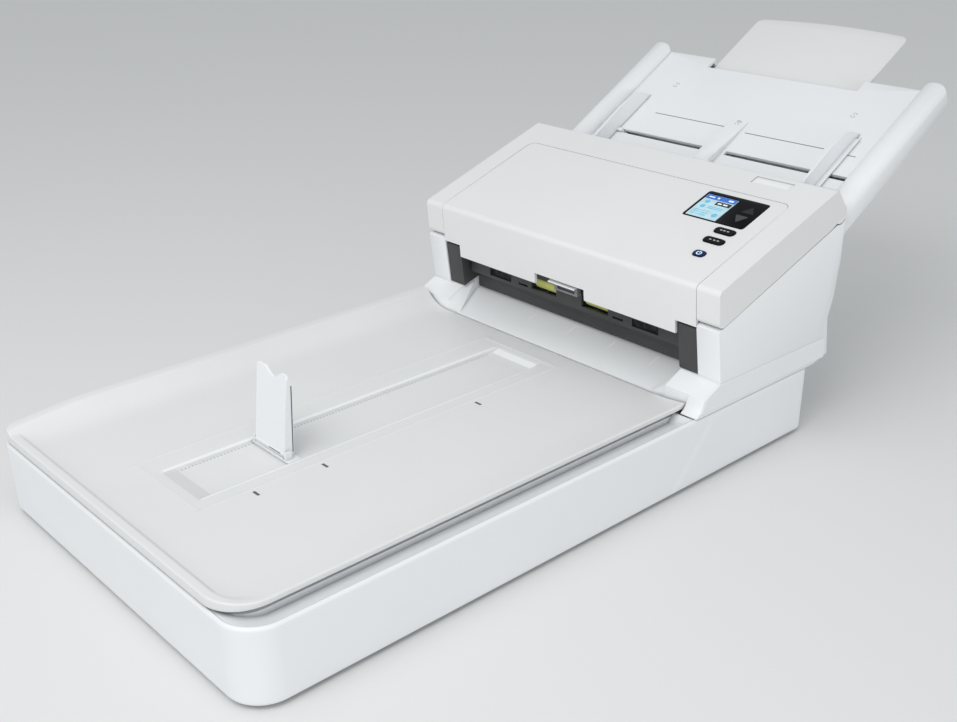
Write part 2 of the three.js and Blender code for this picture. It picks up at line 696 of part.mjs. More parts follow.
function lowerGuide() {
  const sheet = box(-LOWER_SIDE, LOWER_SIDE, EXIT_V - 4.5, TRAY_FOOT - 2, -3, -0.8);
  const cheeks = [-1, 1].map((side) => {
    const inner = side * (LOWER_SIDE - 3);
    const outer = side * LOWER_SIDE;
    return box(Math.min(inner, outer), Math.max(inner, outer), EXIT_V + 2, FEED_V + 14, -14.5, -2);
  });
  const windows = rollerWindows([
    ...pairs(GREEN_ROLLER_X, GREEN_ROLLER_HALF, EXIT_V, 8),
    [0, DRIVE_HALF, DRIVE_V, 10],
    [0, 20, FEED_V, 10],
  ], -4, 1);
  const sensorSlot = box(-113, 113, LOWER_SENSOR_V - 7.5, LOWER_SENSOR_V + 7.5, -4, 1);
  const bores = shaftBores([[EXIT_V, LOWER_SHAFT_H + 1.5], [DRIVE_V, LOWER_SHAFT_H], [FEED_V, LOWER_SHAFT_H]],
    SHAFT_RADIUS + GAP, -200, 200);
  const idlerStub = rodX(SHAFT_RADIUS - GAP, GEAR_END, -LOWER_SIDE + 1, IDLER_GEAR_V, IDLER_GEAR_H, 20);
  return join(cut(join(sheet, ...cheeks), ...windows, sensorSlot, ...bores), idlerStub);
}

function tyre(x, halfWidth, v, h, radius) {
  const sleeve = rodX(radius, x - halfWidth, x + halfWidth, v, h, 28);
  return cut(sleeve, rodX(SHAFT_RADIUS + 0.1, x - halfWidth - 1, x + halfWidth + 1, v, h, 20));
}

function shaft(v, h, from, to) {
  return rodX(SHAFT_RADIUS, from, to, v, h, 20);
}

const GEAR_X0 = -164;
const GEAR_X1 = -158;
const GEAR_END = -165;

function sensorBar(v, low, high) {
  return box(-112, 112, v - 6.5, v + 6.5, low, high);
}

function trainGear(v, h, radius, teeth) {
  const gear = gearX(radius - 1.6, radius - 0.3, teeth, GEAR_X0, GEAR_X1, v, h);
  return cut(gear, rodX(SHAFT_RADIUS + 0.1, GEAR_X0 - 1, GEAR_X1 + 1, v, h, 20));
}

// The lower exit roller is one moulding: shaft, two raised bands and the gear on its left end.
function lowerExitRoller() {
  const h = LOWER_SHAFT_H + 1.5;
  const bands = [-1, 1].map((side) => {
    const middle = side * GREEN_ROLLER_X;
    const half = GREEN_ROLLER_HALF - 1;
    return rodX(ROLLER_RADIUS - 1.5, middle - half, middle + half, EXIT_V, h, 28);
  });
  const gear = gearX(EXIT_GEAR_RADIUS - 1.6, EXIT_GEAR_RADIUS - 0.3, 24, GEAR_X0, GEAR_X1, EXIT_V, h);
  return join(shaft(EXIT_V, h, GEAR_END, 145), gear, ...bands);
}

function driveRoller() {
  const band = rodX(ROLLER_RADIUS, -DRIVE_HALF, DRIVE_HALF, DRIVE_V, LOWER_SHAFT_H, 28);
  return join(shaft(DRIVE_V, LOWER_SHAFT_H, GEAR_END, 145), band);
}

function separationRoller() {
  const band = rodX(ROLLER_RADIUS, -18, 18, FEED_V, LOWER_SHAFT_H, 28);
  return join(shaft(FEED_V, LOWER_SHAFT_H, -145, 145), band);
}

const MOTOR_V = -131;
const MOTOR_H = -33.5;
const DRIVE_GEAR_RADIUS = 17;
const IDLER_GEAR_RADIUS = 15;
const PINION_GEAR_RADIUS = 8;
const IDLER_GEAR_V = DRIVE_V - DRIVE_GEAR_RADIUS - IDLER_GEAR_RADIUS;
const IDLER_GEAR_H = LOWER_SHAFT_H + 0.8;

function feedMotor() {
  return join(
    rodX(18, -154, -126, MOTOR_V, MOTOR_H, 32),
    rodX(2.2, GEAR_END, -153, MOTOR_V, MOTOR_H, 20),
  );
}

function motorPinion() {
  const gear = gearX(PINION_GEAR_RADIUS - 1.6, PINION_GEAR_RADIUS - 0.3, 14, GEAR_X0, GEAR_X1,
    MOTOR_V, MOTOR_H);
  return cut(gear, rodX(2.3, GEAR_X0 - 1, GEAR_X1 + 1, MOTOR_V, MOTOR_H, 20));
}

function mainBoard() {
  const board = box(-112, 112, 571, 572.6, 70, 138);
  const chips = [-70, -10, 48].map((x) => box(x - 13, x + 13, 567, 571.5, 84, 110));
  return join(board, ...chips);
}

function rearSocketPlate() {
  const plateBody = box(60.4, 129.6, 578.6, 581.2, 84.4, 101.6);
  const lip = box(62, 128, 575, 579, 86, 100);
  const dataSocket = box(69, 79.6, 576.5, 590, 88, 98.6);
  const powerSocket = rodY(5, 576.5, 590, 114, 93.3, 24);
  return cut(join(plateBody, lip), dataSocket, powerSocket);
}

add('head_housing', headHousing(), 'shell');
add('exit_frame', exitFrame(), 'dark');
add('lower_guide', lowerGuide(), 'plastic', pathFrame);
add('drive_roller', driveRoller(), 'rubber', pathFrame);
add('lower_exit_roller', lowerExitRoller(), 'plastic', pathFrame);
add('separation_roller', separationRoller(), 'green', pathFrame);
add('lower_sensor', sensorBar(LOWER_SENSOR_V, -12, -0.9), 'dark', pathFrame);
add('drive_gear', trainGear(DRIVE_V, LOWER_SHAFT_H, DRIVE_GEAR_RADIUS, 30), 'nylon', pathFrame);
add('idler_gear', trainGear(IDLER_GEAR_V, IDLER_GEAR_H, IDLER_GEAR_RADIUS, 26), 'nylon', pathFrame);
add('feed_motor', feedMotor(), 'steel', pathFrame);
add('motor_pinion', motorPinion(), 'nylon', pathFrame);
add('main_board', mainBoard(), 'board');
add('rear_socket_plate', rearSocketPlate(), 'dark');

// ---------------------------------------------------------------- head, opening part

const COVER_THICKNESS = 2.8;
const REAR_KEY_X0 = 98.4;
const REAR_KEY_X1 = 136;
const REAR_KEY_U0 = 141.6;
const REAR_KEY_U1 = 150.8;

function coverOutline(offset) {
  const dropLine = (y) => partLineZ(y) + 0.5;
  return outline([
    [HEAD_FRONT + 0.1 + offset, dropLine(HEAD_FRONT) - (offset > 0 ? 9 : 0)],
    [PANEL_Y + offset, PANEL_Z - offset * 0.8],
    [577.7 - offset, 211.2 - offset * 1.25],
    [580.5 - offset, 210.8 - offset * 1.25],
    [594.2 - offset, PIVOT_Z + 2 - (offset > 0 ? 9 : 0)],
    [593.4 - offset, PIVOT_Z - 3 - (offset > 0 ? 9 : 0)],
    [PIVOT_Y + 2, PIVOT_Z - (offset > 0 ? 12 : 4)],
    [PIVOT_Y - 9, dropLine(PIVOT_Y - 9) - (offset > 0 ? 9 : 0)],
  ]);
}

// Moves a piece drawn in the control panel's own frame into place.
function onPanel(body) {
  return body
    .rotate([THREE.MathUtils.radToDeg(PANEL_SLOPE), 0, 0])
    .translate([0, PANEL_Y, PANEL_Z]);
}

function topCover() {
  const outer = sideways(coverOutline(0), -HALF_WIDTH, HALF_WIDTH);
  const barrel = rodX(PIVOT_BARREL_RADIUS, -HALF_WIDTH, HALF_WIDTH, PIVOT_Y, PIVOT_Z, 32);
  const inner = sideways(coverOutline(COVER_THICKNESS), -HALF_WIDTH + WALL, HALF_WIDTH - WALL);
  const rearGate = box(-MOUTH_HALF, MOUTH_HALF, 570, 620, 150, 206);
  const rearEdge = box(-MOUTH_HALF, MOUTH_HALF, 578.6, 620, 150, 240);
  const insetCorner = PANEL_CORNER + GAP;
  const inset = onPanel(plate(
    roundedOutline(-MOUTH_HALF, MOUTH_HALF, -20, PANEL_INSET_LENGTH, [0, 0, insetCorner, insetCorner]),
    -50, 10, 6,
  ));
  const keyHole = onPanel(box(REAR_KEY_X0 - GAP, REAR_KEY_X1 + GAP, REAR_KEY_U0 - GAP, REAR_KEY_U1 + GAP, -8, 4));
  return cut(join(outer, barrel), inner, rearGate, rearEdge, inset, keyHole);
}

const SCREEN_X0 = 76;
const SCREEN_X1 = 107.5;
const SCREEN_U0 = 80;
const SCREEN_U1 = 113;
const BEZEL_X0 = 74;
const BEZEL_X1 = 136.5;
const BEZEL_U0 = 78.2;
const BEZEL_U1 = 117;
const SKIRT_HALF = 130.5;
const NOTCH_HALF = 30;

const KEY_X = 125.3;
const KEY_HALF_DEPTH = 4;
const KEYS = [
  { name: 'upper_key', x: KEY_X, u: 70.2, halfWidth: 10, finish: 'glossBlack' },
  { name: 'lower_key', x: KEY_X, u: 55.9, halfWidth: 10, finish: 'glossBlack' },
  { name: 'power_key', x: KEY_X + 0.5, u: 36.5, halfWidth: 5.8, finish: 'navy' },
];

// Outline of a key, or of its hole when it is grown by a gap.
function keyOutline({ x, u, halfWidth }, grow) {
  const halfDepth = KEY_HALF_DEPTH + grow;
  return evenOutline(x - halfWidth - grow, x + halfWidth + grow, u - halfDepth, u + halfDepth,
    KEY_HALF_DEPTH + Math.min(grow - 0.2, 0));
}

// The inset moulding bends over the front arris: its top lies in the panel frame, and its front
// face and skirt hang down from it.
function controlPanel() {
  const half = MOUTH_HALF - GAP;
  const top = plate(
    roundedOutline(-half, half, 0.4, PANEL_INSET_LENGTH - GAP, [0, 0, PANEL_CORNER, PANEL_CORNER]),
    -COVER_THICKNESS, 0, 6,
  );
  const holes = [
    box(BEZEL_X0 - GAP, BEZEL_X1 + GAP, BEZEL_U0 - GAP, BEZEL_U1 + GAP, -8, 4),
    ...KEYS.map((key) => plate(keyOutline(key, GAP), -8, 4, 6)),
  ];
  const turnedTop = onPanel(cut(top, ...holes));
  const front = sideways(outline([
    [PANEL_Y, PANEL_Z],
    [HEAD_FRONT - 0.4, 126.5],
    [HEAD_FRONT - 0.4 + COVER_THICKNESS, 126.5],
    [PANEL_Y + COVER_THICKNESS + 0.5, PANEL_Z],
  ]), -half, half);
  const skirt = sideways(outline([
    [HEAD_FRONT - 0.5, 128],
    [HEAD_FRONT + 1.1, 115],
    [HEAD_FRONT + 3.8, 115],
    [HEAD_FRONT + 2.2, 128],
  ]), -SKIRT_HALF, SKIRT_HALF);
  const notch = box(-NOTCH_HALF, NOTCH_HALF, 420, 445, 110, 125);
  return cut(join(turnedTop, front, skirt), notch);
}

function displayBezel() {
  const body = plate(evenOutline(BEZEL_X0, BEZEL_X1, BEZEL_U0, BEZEL_U1, 2.5), -3.2, 0.2, 4);
  return cut(body, box(SCREEN_X0 - GAP, SCREEN_X1 + GAP, SCREEN_U0 - GAP, SCREEN_U1 + GAP, -1, 1));
}

function displayScreen() {
  return box(SCREEN_X0, SCREEN_X1, SCREEN_U0, SCREEN_U1, -0.7, 0);
}

function panelKey(key) {
  return plate(keyOutline(key, 0), -4.5, 1.1, 6);
}

function rearKey() {
  return plate(evenOutline(REAR_KEY_X0, REAR_KEY_X1, REAR_KEY_U0, REAR_KEY_U1, 1.2), -4.5, -0.1, 3);
}

function releaseTab() {
  return sideways(outline([
    [434.5, 118.3],
    [434.5, 122.4],
    [446, 126],
    [446, 122],
  ]), -16, 16);
}

const UPPER_SIDE = 128;
const UPPER_SHAFT_H = ROLLER_RADIUS + 0.2;

function upperGuide() {
  const sheet = box(-UPPER_SIDE, UPPER_SIDE, EXIT_V - 6, PICK_V + 14, 1.6, 3.6);
  const cheeks = [-1, 1].map((side) => {
    const inner = side * (UPPER_SIDE - 3);
    const outer = side * UPPER_SIDE;
    return box(Math.min(inner, outer), Math.max(inner, outer), EXIT_V - 6, PICK_V + 6, 2.6, 15);
  });
  const windows = rollerWindows([
    ...pairs(GREEN_ROLLER_X, GREEN_ROLLER_HALF, EXIT_V, 8.6),
    [0, DRIVE_HALF, DRIVE_V, 9],
    [0, 20, FEED_V, 10],
    [0, 20, PICK_V, 10],
  ], 0, 4);
  const sensorSlot = box(-113, 113, UPPER_SENSOR_V - 7.5, UPPER_SENSOR_V + 7.5, 0, 4);
  const bores = shaftBores([[EXIT_V, UPPER_SHAFT_H - 1], [DRIVE_V, UPPER_SHAFT_H - 2], [FEED_V, UPPER_SHAFT_H],
    [PICK_V, UPPER_SHAFT_H]], SHAFT_RADIUS + GAP, -200, 200);
  return cut(join(sheet, ...cheeks), ...windows, sensorSlot, ...bores);
}

function idlerRoller() {
  const h = UPPER_SHAFT_H - 2;
  const band = rodX(ROLLER_RADIUS - 2, -DRIVE_HALF + 1, DRIVE_HALF - 1, DRIVE_V, h, 28);
  return join(shaft(DRIVE_V, h, -132, 132), band);
}

add('top_cover', topCover(), 'shell');
add('control_panel', controlPanel(), 'shell');
add('display_bezel', displayBezel(), 'glossBlack', panelFrame);
add('display_screen', displayScreen(), 'screen', panelFrame);
for (const key of KEYS) {
  add(key.name, panelKey(key), key.finish, panelFrame);
}
add('rear_key', rearKey(), 'shell', panelFrame);
add('release_tab', releaseTab(), 'shell');
add('upper_guide', upperGuide(), 'dark', pathFrame);
add('upper_sensor', sensorBar(UPPER_SENSOR_V, 1.8, 13), 'dark', pathFrame);
add('upper_exit_shaft', shaft(EXIT_V, UPPER_SHAFT_H - 1, -132, 132), 'steel', pathFrame);
add('idler_roller', idlerRoller(), 'plastic', pathFrame);
add('feed_shaft', shaft(FEED_V, UPPER_SHAFT_H, -132, 132), 'steel', pathFrame);
add('feed_roller', tyre(0, 18, FEED_V, UPPER_SHAFT_H, ROLLER_RADIUS), 'green', pathFrame);
add('pick_shaft', shaft(PICK_V, UPPER_SHAFT_H, -132, 132), 'steel', pathFrame);
add('pick_roller', tyre(0, 18, PICK_V, UPPER_SHAFT_H, ROLLER_RADIUS), 'green', pathFrame);
for (const [side, x] of [['left', -GREEN_ROLLER_X], ['right', GREEN_ROLLER_X]]) {
  add(`exit_roller_${side}`, tyre(x, GREEN_ROLLER_HALF, EXIT_V, UPPER_SHAFT_H - 1, ROLLER_RADIUS - 1),
    'green', pathFrame);
}

// ---------------------------------------------------------------- hopper

function railSection(side, inset) {
  const inner = RAIL_INNER + inset;
  const outer = RAIL_OUTER - inset;
  const middle = (inner + outer) / 2;
  const half = (outer - inner) / 2;
  const crown = RAIL_HEIGHT - inset;
  const shape = new THREE.Shape();
  const foot = inset > 0 ? -TRAY_DEPTH - 1 : -TRAY_DEPTH;
  shape.moveTo(side * inner, foot);
  shape.lineTo(side * inner, -1);
  const steps = 10;
  for (let step = 0; step <= steps; step += 1) {
    const angle = Math.PI * (1 - step / steps);
    shape.lineTo(side * (middle + half * Math.cos(angle)), -1 + (crown + 1) * Math.sin(angle));
  }
  shape.lineTo(side * outer, foot);
  return shape;
}

// Rail seen square to the tray: it narrows and rounds off at its free end.
function railPlan(side) {
  const x0 = Math.min(side * RAIL_INNER, side * RAIL_OUTER);
  const x1 = Math.max(side * RAIL_INNER, side * RAIL_OUTER);
  return roundedOutline(x0 - 0.5, x1 + 0.5, RAIL_FOOT - 20, RAIL_END, [0, 0, 8, 8]);
}

function hopperTray() {
  const floorHalf = RAIL_INNER + 2;
  const floor = box(-floorHalf, floorHalf, RAIL_FOOT, TRAY_TOP, -3, 0);
  const tongue = box(-LOWER_SIDE - 6, LOWER_SIDE + 6, TRAY_FOOT, RAIL_FOOT + 1, -3, -0.6);
  const head = box(-HALF_WIDTH - 1, HALF_WIDTH + 1, 500, RAIL_FACE_Y, 120, 240)
    .translate([0, -PATH_Y, -PATH_Z])
    .rotate([-THREE.MathUtils.radToDeg(PATH_SLOPE), 0, 0]);
  const rails = [-1, 1].map((side) => {
    const outer = lengthways(railSection(side, 0), RAIL_FOOT - 20, RAIL_END, 1)
      .intersect(plate(railPlan(side), -40, 40, 6));
    const inner = lengthways(railSection(side, 2.4), RAIL_FOOT - 8, RAIL_END - 6, 1);
    return cut(outer, inner, head);
  });
  const rib = sideways(outline([[-12, -1], [-12, 5], [-6, 7], [55, 0], [55, -1]]), -9.5, 9.5);
  const notch = box(-EXTENSION_HALF - 1, EXTENSION_HALF + 1, EXTENSION_NOTCH, TRAY_TOP + 1, -4, 1);
  const slots = [-1, 1].map((side) => {
    const near = side * 13;
    const far = side * (RAIL_INNER - 1.5);
    return box(Math.min(near, far), Math.max(near, far), GUIDE_SLOT_V - 2.6, GUIDE_SLOT_V + 2.6, -4, 1);
  });
  return cut(join(floor, tongue, rib, ...rails), notch, ...slots);
}

function hopperBack() {
  const half = RAIL_INNER - 0.4;
  const shell = box(-half, half, RAIL_FOOT + 4, TRAY_TOP - 1, -TRAY_DEPTH - 1, -3.4);
  const hollow = box(-half + 2, half - 2, RAIL_FOOT + 6, TRAY_TOP - 3, -TRAY_DEPTH + 0.6, -3);
  const gate = box(-EXTENSION_HALF - 1, EXTENSION_HALF + 1, TRAY_TOP - 8, TRAY_TOP + 1, -9.6, -3);
  const pinionPost = rodZ(2.4, -TRAY_DEPTH, -4.2, 0, GUIDE_SLOT_V, 20);
  return join(cut(shell, hollow, gate), pinionPost);
}

function hopperExtension() {
  const shape = new THREE.Shape();
  const corner = 7;
  shape.moveTo(-EXTENSION_HALF, EXTENSION_FOOT);
  shape.lineTo(EXTENSION_HALF, EXTENSION_FOOT);
  shape.lineTo(EXTENSION_HALF, EXTENSION_TIP - 5 - corner);
  shape.quadraticCurveTo(EXTENSION_HALF, EXTENSION_TIP - 5, EXTENSION_HALF - corner, EXTENSION_TIP - 4);
  shape.quadraticCurveTo(0, EXTENSION_TIP + 4, -EXTENSION_HALF + corner, EXTENSION_TIP - 4);
  shape.quadraticCurveTo(-EXTENSION_HALF, EXTENSION_TIP - 5, -EXTENSION_HALF, EXTENSION_TIP - 5 - corner);
  return plate(shape, EXTENSION_BOTTOM, EXTENSION_TOP, 8);
}

function paperGuide(side) {
  const fin = sideways(outline([
    [-22, 0.4],
    [66, 0.4],
    [58, 9],
    [50, 14],
    [27, 18.5],
    [-18, 16.5],
    [-22, 13],
  ]), GUIDE_X, GUIDE_X + 2.5);
  const shoe = box(GUIDE_X, GUIDE_X + 7, -14, 58, 0.4, 2);
  const stem = box(GUIDE_X - 6, GUIDE_X + 1.5, GUIDE_SLOT_V - 1.8, GUIDE_SLOT_V + 1.8, -4.2, 2);
  const foot = box(GUIDE_X - 9, GUIDE_X + 1.5, GUIDE_SLOT_V - 1.8, GUIDE_SLOT_V + 1.8, -6.8, -3.6);
  const whole = join(fin, shoe, stem, foot, guideRack(side));
  return side > 0 ? whole : whole.mirror([1, 0, 0]);
}

// Rack arm under the tray: it hangs from the guide's stem and runs past the pinion.
function guideRack(side) {
  const offset = side > 0 ? 1 : -1;
  const near = GUIDE_SLOT_V + offset * (PINION_RADIUS + 0.4);
  const far = GUIDE_SLOT_V + offset * (PINION_RADIUS + 4);
  const bar = box(-38, GUIDE_X - 2, Math.min(near, far), Math.max(near, far), -9.2, -6.6);
  const arm = box(GUIDE_X - 9, GUIDE_X - 2, Math.min(GUIDE_SLOT_V - offset * 1.8, far),
    Math.max(GUIDE_SLOT_V - offset * 1.8, far), -9.2, -6.6);
  return join(bar, arm);
}

function guidePinion() {
  const wheel = plate(gearOutline(PINION_RADIUS - 1.2, PINION_RADIUS, 32), -9.2, -6.6);
  return cut(wheel, rodZ(2.8, -12, -4, 0, 0, 20)).translate([0, GUIDE_SLOT_V, 0]);
}

add('hopper_tray', hopperTray(), 'shell', pathFrame);
add('hopper_back', hopperBack(), 'shell', pathFrame);
add('hopper_extension', hopperExtension(), 'shell', pathFrame);
add('paper_guide_left', paperGuide(-1), 'shell', pathFrame);
add('paper_guide_right', paperGuide(1), 'shell', pathFrame);
add('guide_pinion', guidePinion(), 'nylon', pathFrame);

export default scanner;
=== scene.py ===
import json
import math

import bmesh
import bpy
from mathutils import Matrix, Vector


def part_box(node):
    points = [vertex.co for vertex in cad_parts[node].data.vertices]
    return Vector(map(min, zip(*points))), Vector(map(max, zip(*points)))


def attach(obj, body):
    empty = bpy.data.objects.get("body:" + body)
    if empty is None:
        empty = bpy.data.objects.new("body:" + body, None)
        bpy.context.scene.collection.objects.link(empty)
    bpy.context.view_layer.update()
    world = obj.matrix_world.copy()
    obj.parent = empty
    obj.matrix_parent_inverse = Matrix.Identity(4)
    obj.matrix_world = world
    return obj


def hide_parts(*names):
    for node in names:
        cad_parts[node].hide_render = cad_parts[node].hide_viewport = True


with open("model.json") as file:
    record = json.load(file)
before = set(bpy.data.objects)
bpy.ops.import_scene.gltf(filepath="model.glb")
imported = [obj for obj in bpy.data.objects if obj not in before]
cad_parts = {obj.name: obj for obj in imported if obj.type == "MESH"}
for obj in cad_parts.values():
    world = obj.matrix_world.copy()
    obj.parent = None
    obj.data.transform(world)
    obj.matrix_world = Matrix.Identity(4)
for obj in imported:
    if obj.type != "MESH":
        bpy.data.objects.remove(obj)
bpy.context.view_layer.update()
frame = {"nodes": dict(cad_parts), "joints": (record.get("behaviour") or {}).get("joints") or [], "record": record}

# Shapes are drawn in millimetres in the construction frame of the CAD: X = 0 on the centre line,
# Y = 0 at the front of the base and Z = 0 on the table. The panel frame's Y runs up the control panel
# and the path frame's Y runs up the paper path and the hopper; Z stands off each of them.

MM = 0.001
BASE_LOW, BASE_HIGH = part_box("base_shell")
LID_LOW, LID_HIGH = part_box("document_lid")
HALF_WIDTH = BASE_HIGH.x / MM
BASE_TOP = BASE_HIGH.z / MM
BASE_LENGTH = (BASE_HIGH.y - BASE_LOW.y) / MM
BASE_CORNERS = (12.0, 28.0, 12.0, 12.0)
WALL = 2.8
FOOT_HEIGHT = BASE_LOW.z / MM
LID_LEFT = LID_LOW.x / MM
LID_RIGHT = LID_HIGH.x / MM
LID_FRONT = (LID_LOW.y - BASE_LOW.y) / MM
LID_REAR = (LID_HIGH.y - BASE_LOW.y) / MM
LID_UNDERSIDE = LID_LOW.z / MM
LID_FLOOR = 65.0
JOINTS = {joint["name"]: joint for joint in frame["joints"]}


def millimetres(length):
    """A length of the frame, to the hundredth of a millimetre that the CAD is drawn to."""
    return round(length / MM, 2)


def axis_point(joint):
    """Y and Z of a joint's axis."""
    _, y, z = JOINTS[joint]["pos_m"]
    return millimetres(y - BASE_LOW.y), millimetres(z)


BASE_FRAME = Matrix.Translation((0, BASE_LOW.y, 0))
slide = JOINTS["extension_slide"]["axis"]
press = JOINTS["upper_key_press"]["axis"]
PATH_FRAME = (BASE_FRAME @ Matrix.Translation(Vector((0, 629.3, 197.7)) * MM)
              @ Matrix.Rotation(math.atan2(slide[2], slide[1]), 4, "X"))
PANEL_SLOPE = math.atan2(press[1], -press[2])
PANEL_LOW, PANEL_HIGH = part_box("control_panel")
PANEL_Y = millimetres(PANEL_LOW.y - BASE_LOW.y)
PANEL_Z = 161.7
PANEL_FRAME = (BASE_FRAME @ Matrix.Translation(Vector((0, PANEL_Y, PANEL_Z)) * MM)
               @ Matrix.Rotation(PANEL_SLOPE, 4, "X"))


# ---------------------------------------------------------------- materials

class Shader:
    """A Principled material built from a few procedural layers."""

    def __init__(self, name, colour, roughness):
        self.material = bpy.data.materials.new(name)
        self.material.use_nodes = True
        self.tree = self.material.node_tree
        self.bsdf = self.tree.nodes["Principled BSDF"]
        self.bsdf.inputs["Base Color"].default_value = (*colour, 1)
        self.bsdf.inputs["Roughness"].default_value = roughness
        self.colour = colour
        self.coords = self.node("ShaderNodeTexCoord").outputs["Object"]

    def node(self, kind, **inputs):
        made = self.tree.nodes.new(kind)
        for key, value in inputs.items():
            made.inputs[key].default_value = value
        return made

    def link(self, source, target):
        self.tree.links.new(source, target)

    def noise(self, scale, detail=2.0, stretch=None):
        made = self.node("ShaderNodeTexNoise", Scale=scale, Detail=detail)
        source = self.coords
        if stretch:
            mapping = self.node("ShaderNodeMapping")
            mapping.inputs["Scale"].default_value = stretch
            self.link(source, mapping.inputs["Vector"])
            source = mapping.outputs["Vector"]
        self.link(source, made.inputs["Vector"])
        return made.outputs["Fac"]

    def spread(self, factor, low, high):
        levels = {"From Min": 0.3, "From Max": 0.7, "To Min": low, "To Max": high}
        ramp = self.node("ShaderNodeMapRange", **levels)
        self.link(factor, ramp.inputs["Value"])
        return ramp.outputs["Result"]

    def tint(self, other, factor):
        mix = self.node("ShaderNodeMix")
        mix.data_type = "RGBA"
        mix.inputs["A"].default_value = (*self.colour, 1)
        mix.inputs["B"].default_value = (*other, 1)
        self.link(factor, mix.inputs["Factor"])
        return mix.outputs["Result"]

    def paint_recess_shade(self, colour, distance, floor):
        """Painted shade: darkens seams and inner corners by ambient occlusion, where little light reaches."""
        occlusion = self.node("ShaderNodeAmbientOcclusion", Distance=distance)
        occlusion.samples = 6
        level = self.node("ShaderNodeMapRange")
        level.inputs["To Min"].default_value = floor
        self.link(occlusion.outputs["AO"], level.inputs["Value"])
        mix = self.node("ShaderNodeMix")
        mix.data_type = "RGBA"
        mix.blend_type = "MULTIPLY"
        mix.inputs["Factor"].default_value = 1.0
        self.link(colour, mix.inputs["A"])
        self.link(level.outputs["Result"], mix.inputs["B"])
        return mix.outputs["Result"]

    def bump(self, height, strength, distance):
        made = self.node("ShaderNodeBump", Strength=strength, Distance=distance)
        self.link(height, made.inputs["Height"])
        self.link(made.outputs["Normal"], self.bsdf.inputs["Normal"])


def shift(colour, amount):
    return tuple(max(0.0, channel + amount) for channel in colour)


def moulded_plastic(name, colour, roughness, grain=1600, depth=0.00003, recess_shade=0.62):
    """Injection-moulded plastic: spark-eroded grain, faint flow marks, uneven sheen and painted shade in its seams
    and inner corners.
    """
    shader = Shader(name, colour, roughness)
    tinted = shader.tint(shift(colour, -0.02), shader.spread(shader.noise(9, 3), 0, 1))
    # Painted shade: seams and inner corners are darkened by ambient occlusion down to this floor.
    if recess_shade < 1:
        tinted = shader.paint_recess_shade(tinted, 0.0035, recess_shade)
    shader.link(tinted, shader.bsdf.inputs["Base Color"])
    sheen = shader.spread(shader.noise(60, 2), roughness - 0.04, roughness + 0.05)
    shader.link(sheen, shader.bsdf.inputs["Roughness"])
    shader.bump(shader.noise(grain, 2), 0.3, depth)
    return shader.material


def gloss_plastic(name, colour, roughness, coat=0.4, specular=0.5):
    shader = Shader(name, colour, roughness)
    smudge = shader.spread(shader.noise(45, 4), roughness, roughness + 0.1)
    shader.link(smudge, shader.bsdf.inputs["Roughness"])
    flecks = shader.spread(shader.noise(20, 2), 0, 1)
    shader.link(shader.tint(shift(colour, 0.003), flecks), shader.bsdf.inputs["Base Color"])
    shader.bsdf.inputs["Specular IOR Level"].default_value = specular
    shader.bsdf.inputs["Coat Weight"].default_value = coat
    shader.bsdf.inputs["Coat Roughness"].default_value = 0.06
    return shader.material


def rubber(name, colour, roughness=0.75):
    shader = Shader(name, colour, roughness)
    worn = shader.spread(shader.noise(220, 3), 0, 1)
    shader.link(shader.tint(shift(colour, -0.04), worn), shader.bsdf.inputs["Base Color"])
    shader.bsdf.inputs["Specular IOR Level"].default_value = 0.3
    shader.bump(shader.noise(900, 3), 0.6, 0.0001)
    return shader.material


def brushed_metal(name, colour, roughness=0.3):
    shader = Shader(name, colour, roughness)
    shader.bsdf.inputs["Metallic"].default_value = 1.0
    streaks = shader.noise(900, 3, stretch=(0.02, 1, 1))
    shader.link(shader.spread(streaks, roughness - 0.08, roughness + 0.12), shader.bsdf.inputs["Roughness"])
    worn = shader.spread(streaks, 0, 1)
    shader.link(shader.tint(shift(colour, -0.08), worn), shader.bsdf.inputs["Base Color"])
    shader.bump(streaks, 0.15, 0.00003)
    return shader.material


def clear_glass(name):
    shader = Shader(name, (0.80, 0.87, 0.86), 0.03)
    shader.bsdf.inputs["Transmission Weight"].default_value = 0.85
    shader.bsdf.inputs["IOR"].default_value = 1.5
    shader.link(shader.spread(shader.noise(30, 4), 0.02, 0.06), shader.bsdf.inputs["Roughness"])
    return shader.material


def solder_mask(name):
    shader = Shader(name, (0.02, 0.14, 0.06), 0.35)
    tracks = shader.node("ShaderNodeTexBrick", Scale=160)
    shader.link(shader.coords, tracks.inputs["Vector"])
    tracks.inputs["Color1"].default_value = (0.02, 0.15, 0.06, 1)
    tracks.inputs["Color2"].default_value = (0.02, 0.12, 0.05, 1)
    tracks.inputs["Mortar"].default_value = (0.05, 0.24, 0.10, 1)
    shader.link(tracks.outputs["Color"], shader.bsdf.inputs["Base Color"])
    return shader.material


def foam_film(name):
    shader = Shader(name, (0.86, 0.86, 0.84), 0.6)
    cells = shader.spread(shader.noise(35, 4), 0, 1)
    shader.link(shader.tint((0.80, 0.80, 0.78), cells), shader.bsdf.inputs["Base Color"])
    shader.bump(shader.noise(500, 3), 0.4, 0.0001)
    return shader.material


def lit_screen(name, colour, strength=0.35):
    """One area of a lit display: its own colour, slightly uneven, under a clear front."""
    shader = Shader(name, colour, 0.12)
    glow = shader.tint(tuple(channel * 0.82 for channel in colour), shader.spread(shader.noise(160, 2), 0, 1))
    shader.link(glow, shader.bsdf.inputs["Base Color"])
    shader.link(glow, shader.bsdf.inputs["Emission Color"])
    shader.bsdf.inputs["Emission Strength"].default_value = strength
    return shader.material


def print_ink(name, colour):
    shader = Shader(name, colour, 0.6)
    fade = shader.spread(shader.noise(700, 2), 0, 1)
    faded = tuple(channel * 1.3 for channel in colour)
    shader.link(shader.tint(faded, fade), shader.bsdf.inputs["Base Color"])
    shader.bsdf.inputs["Specular IOR Level"].default_value = 0.12
    return shader.material


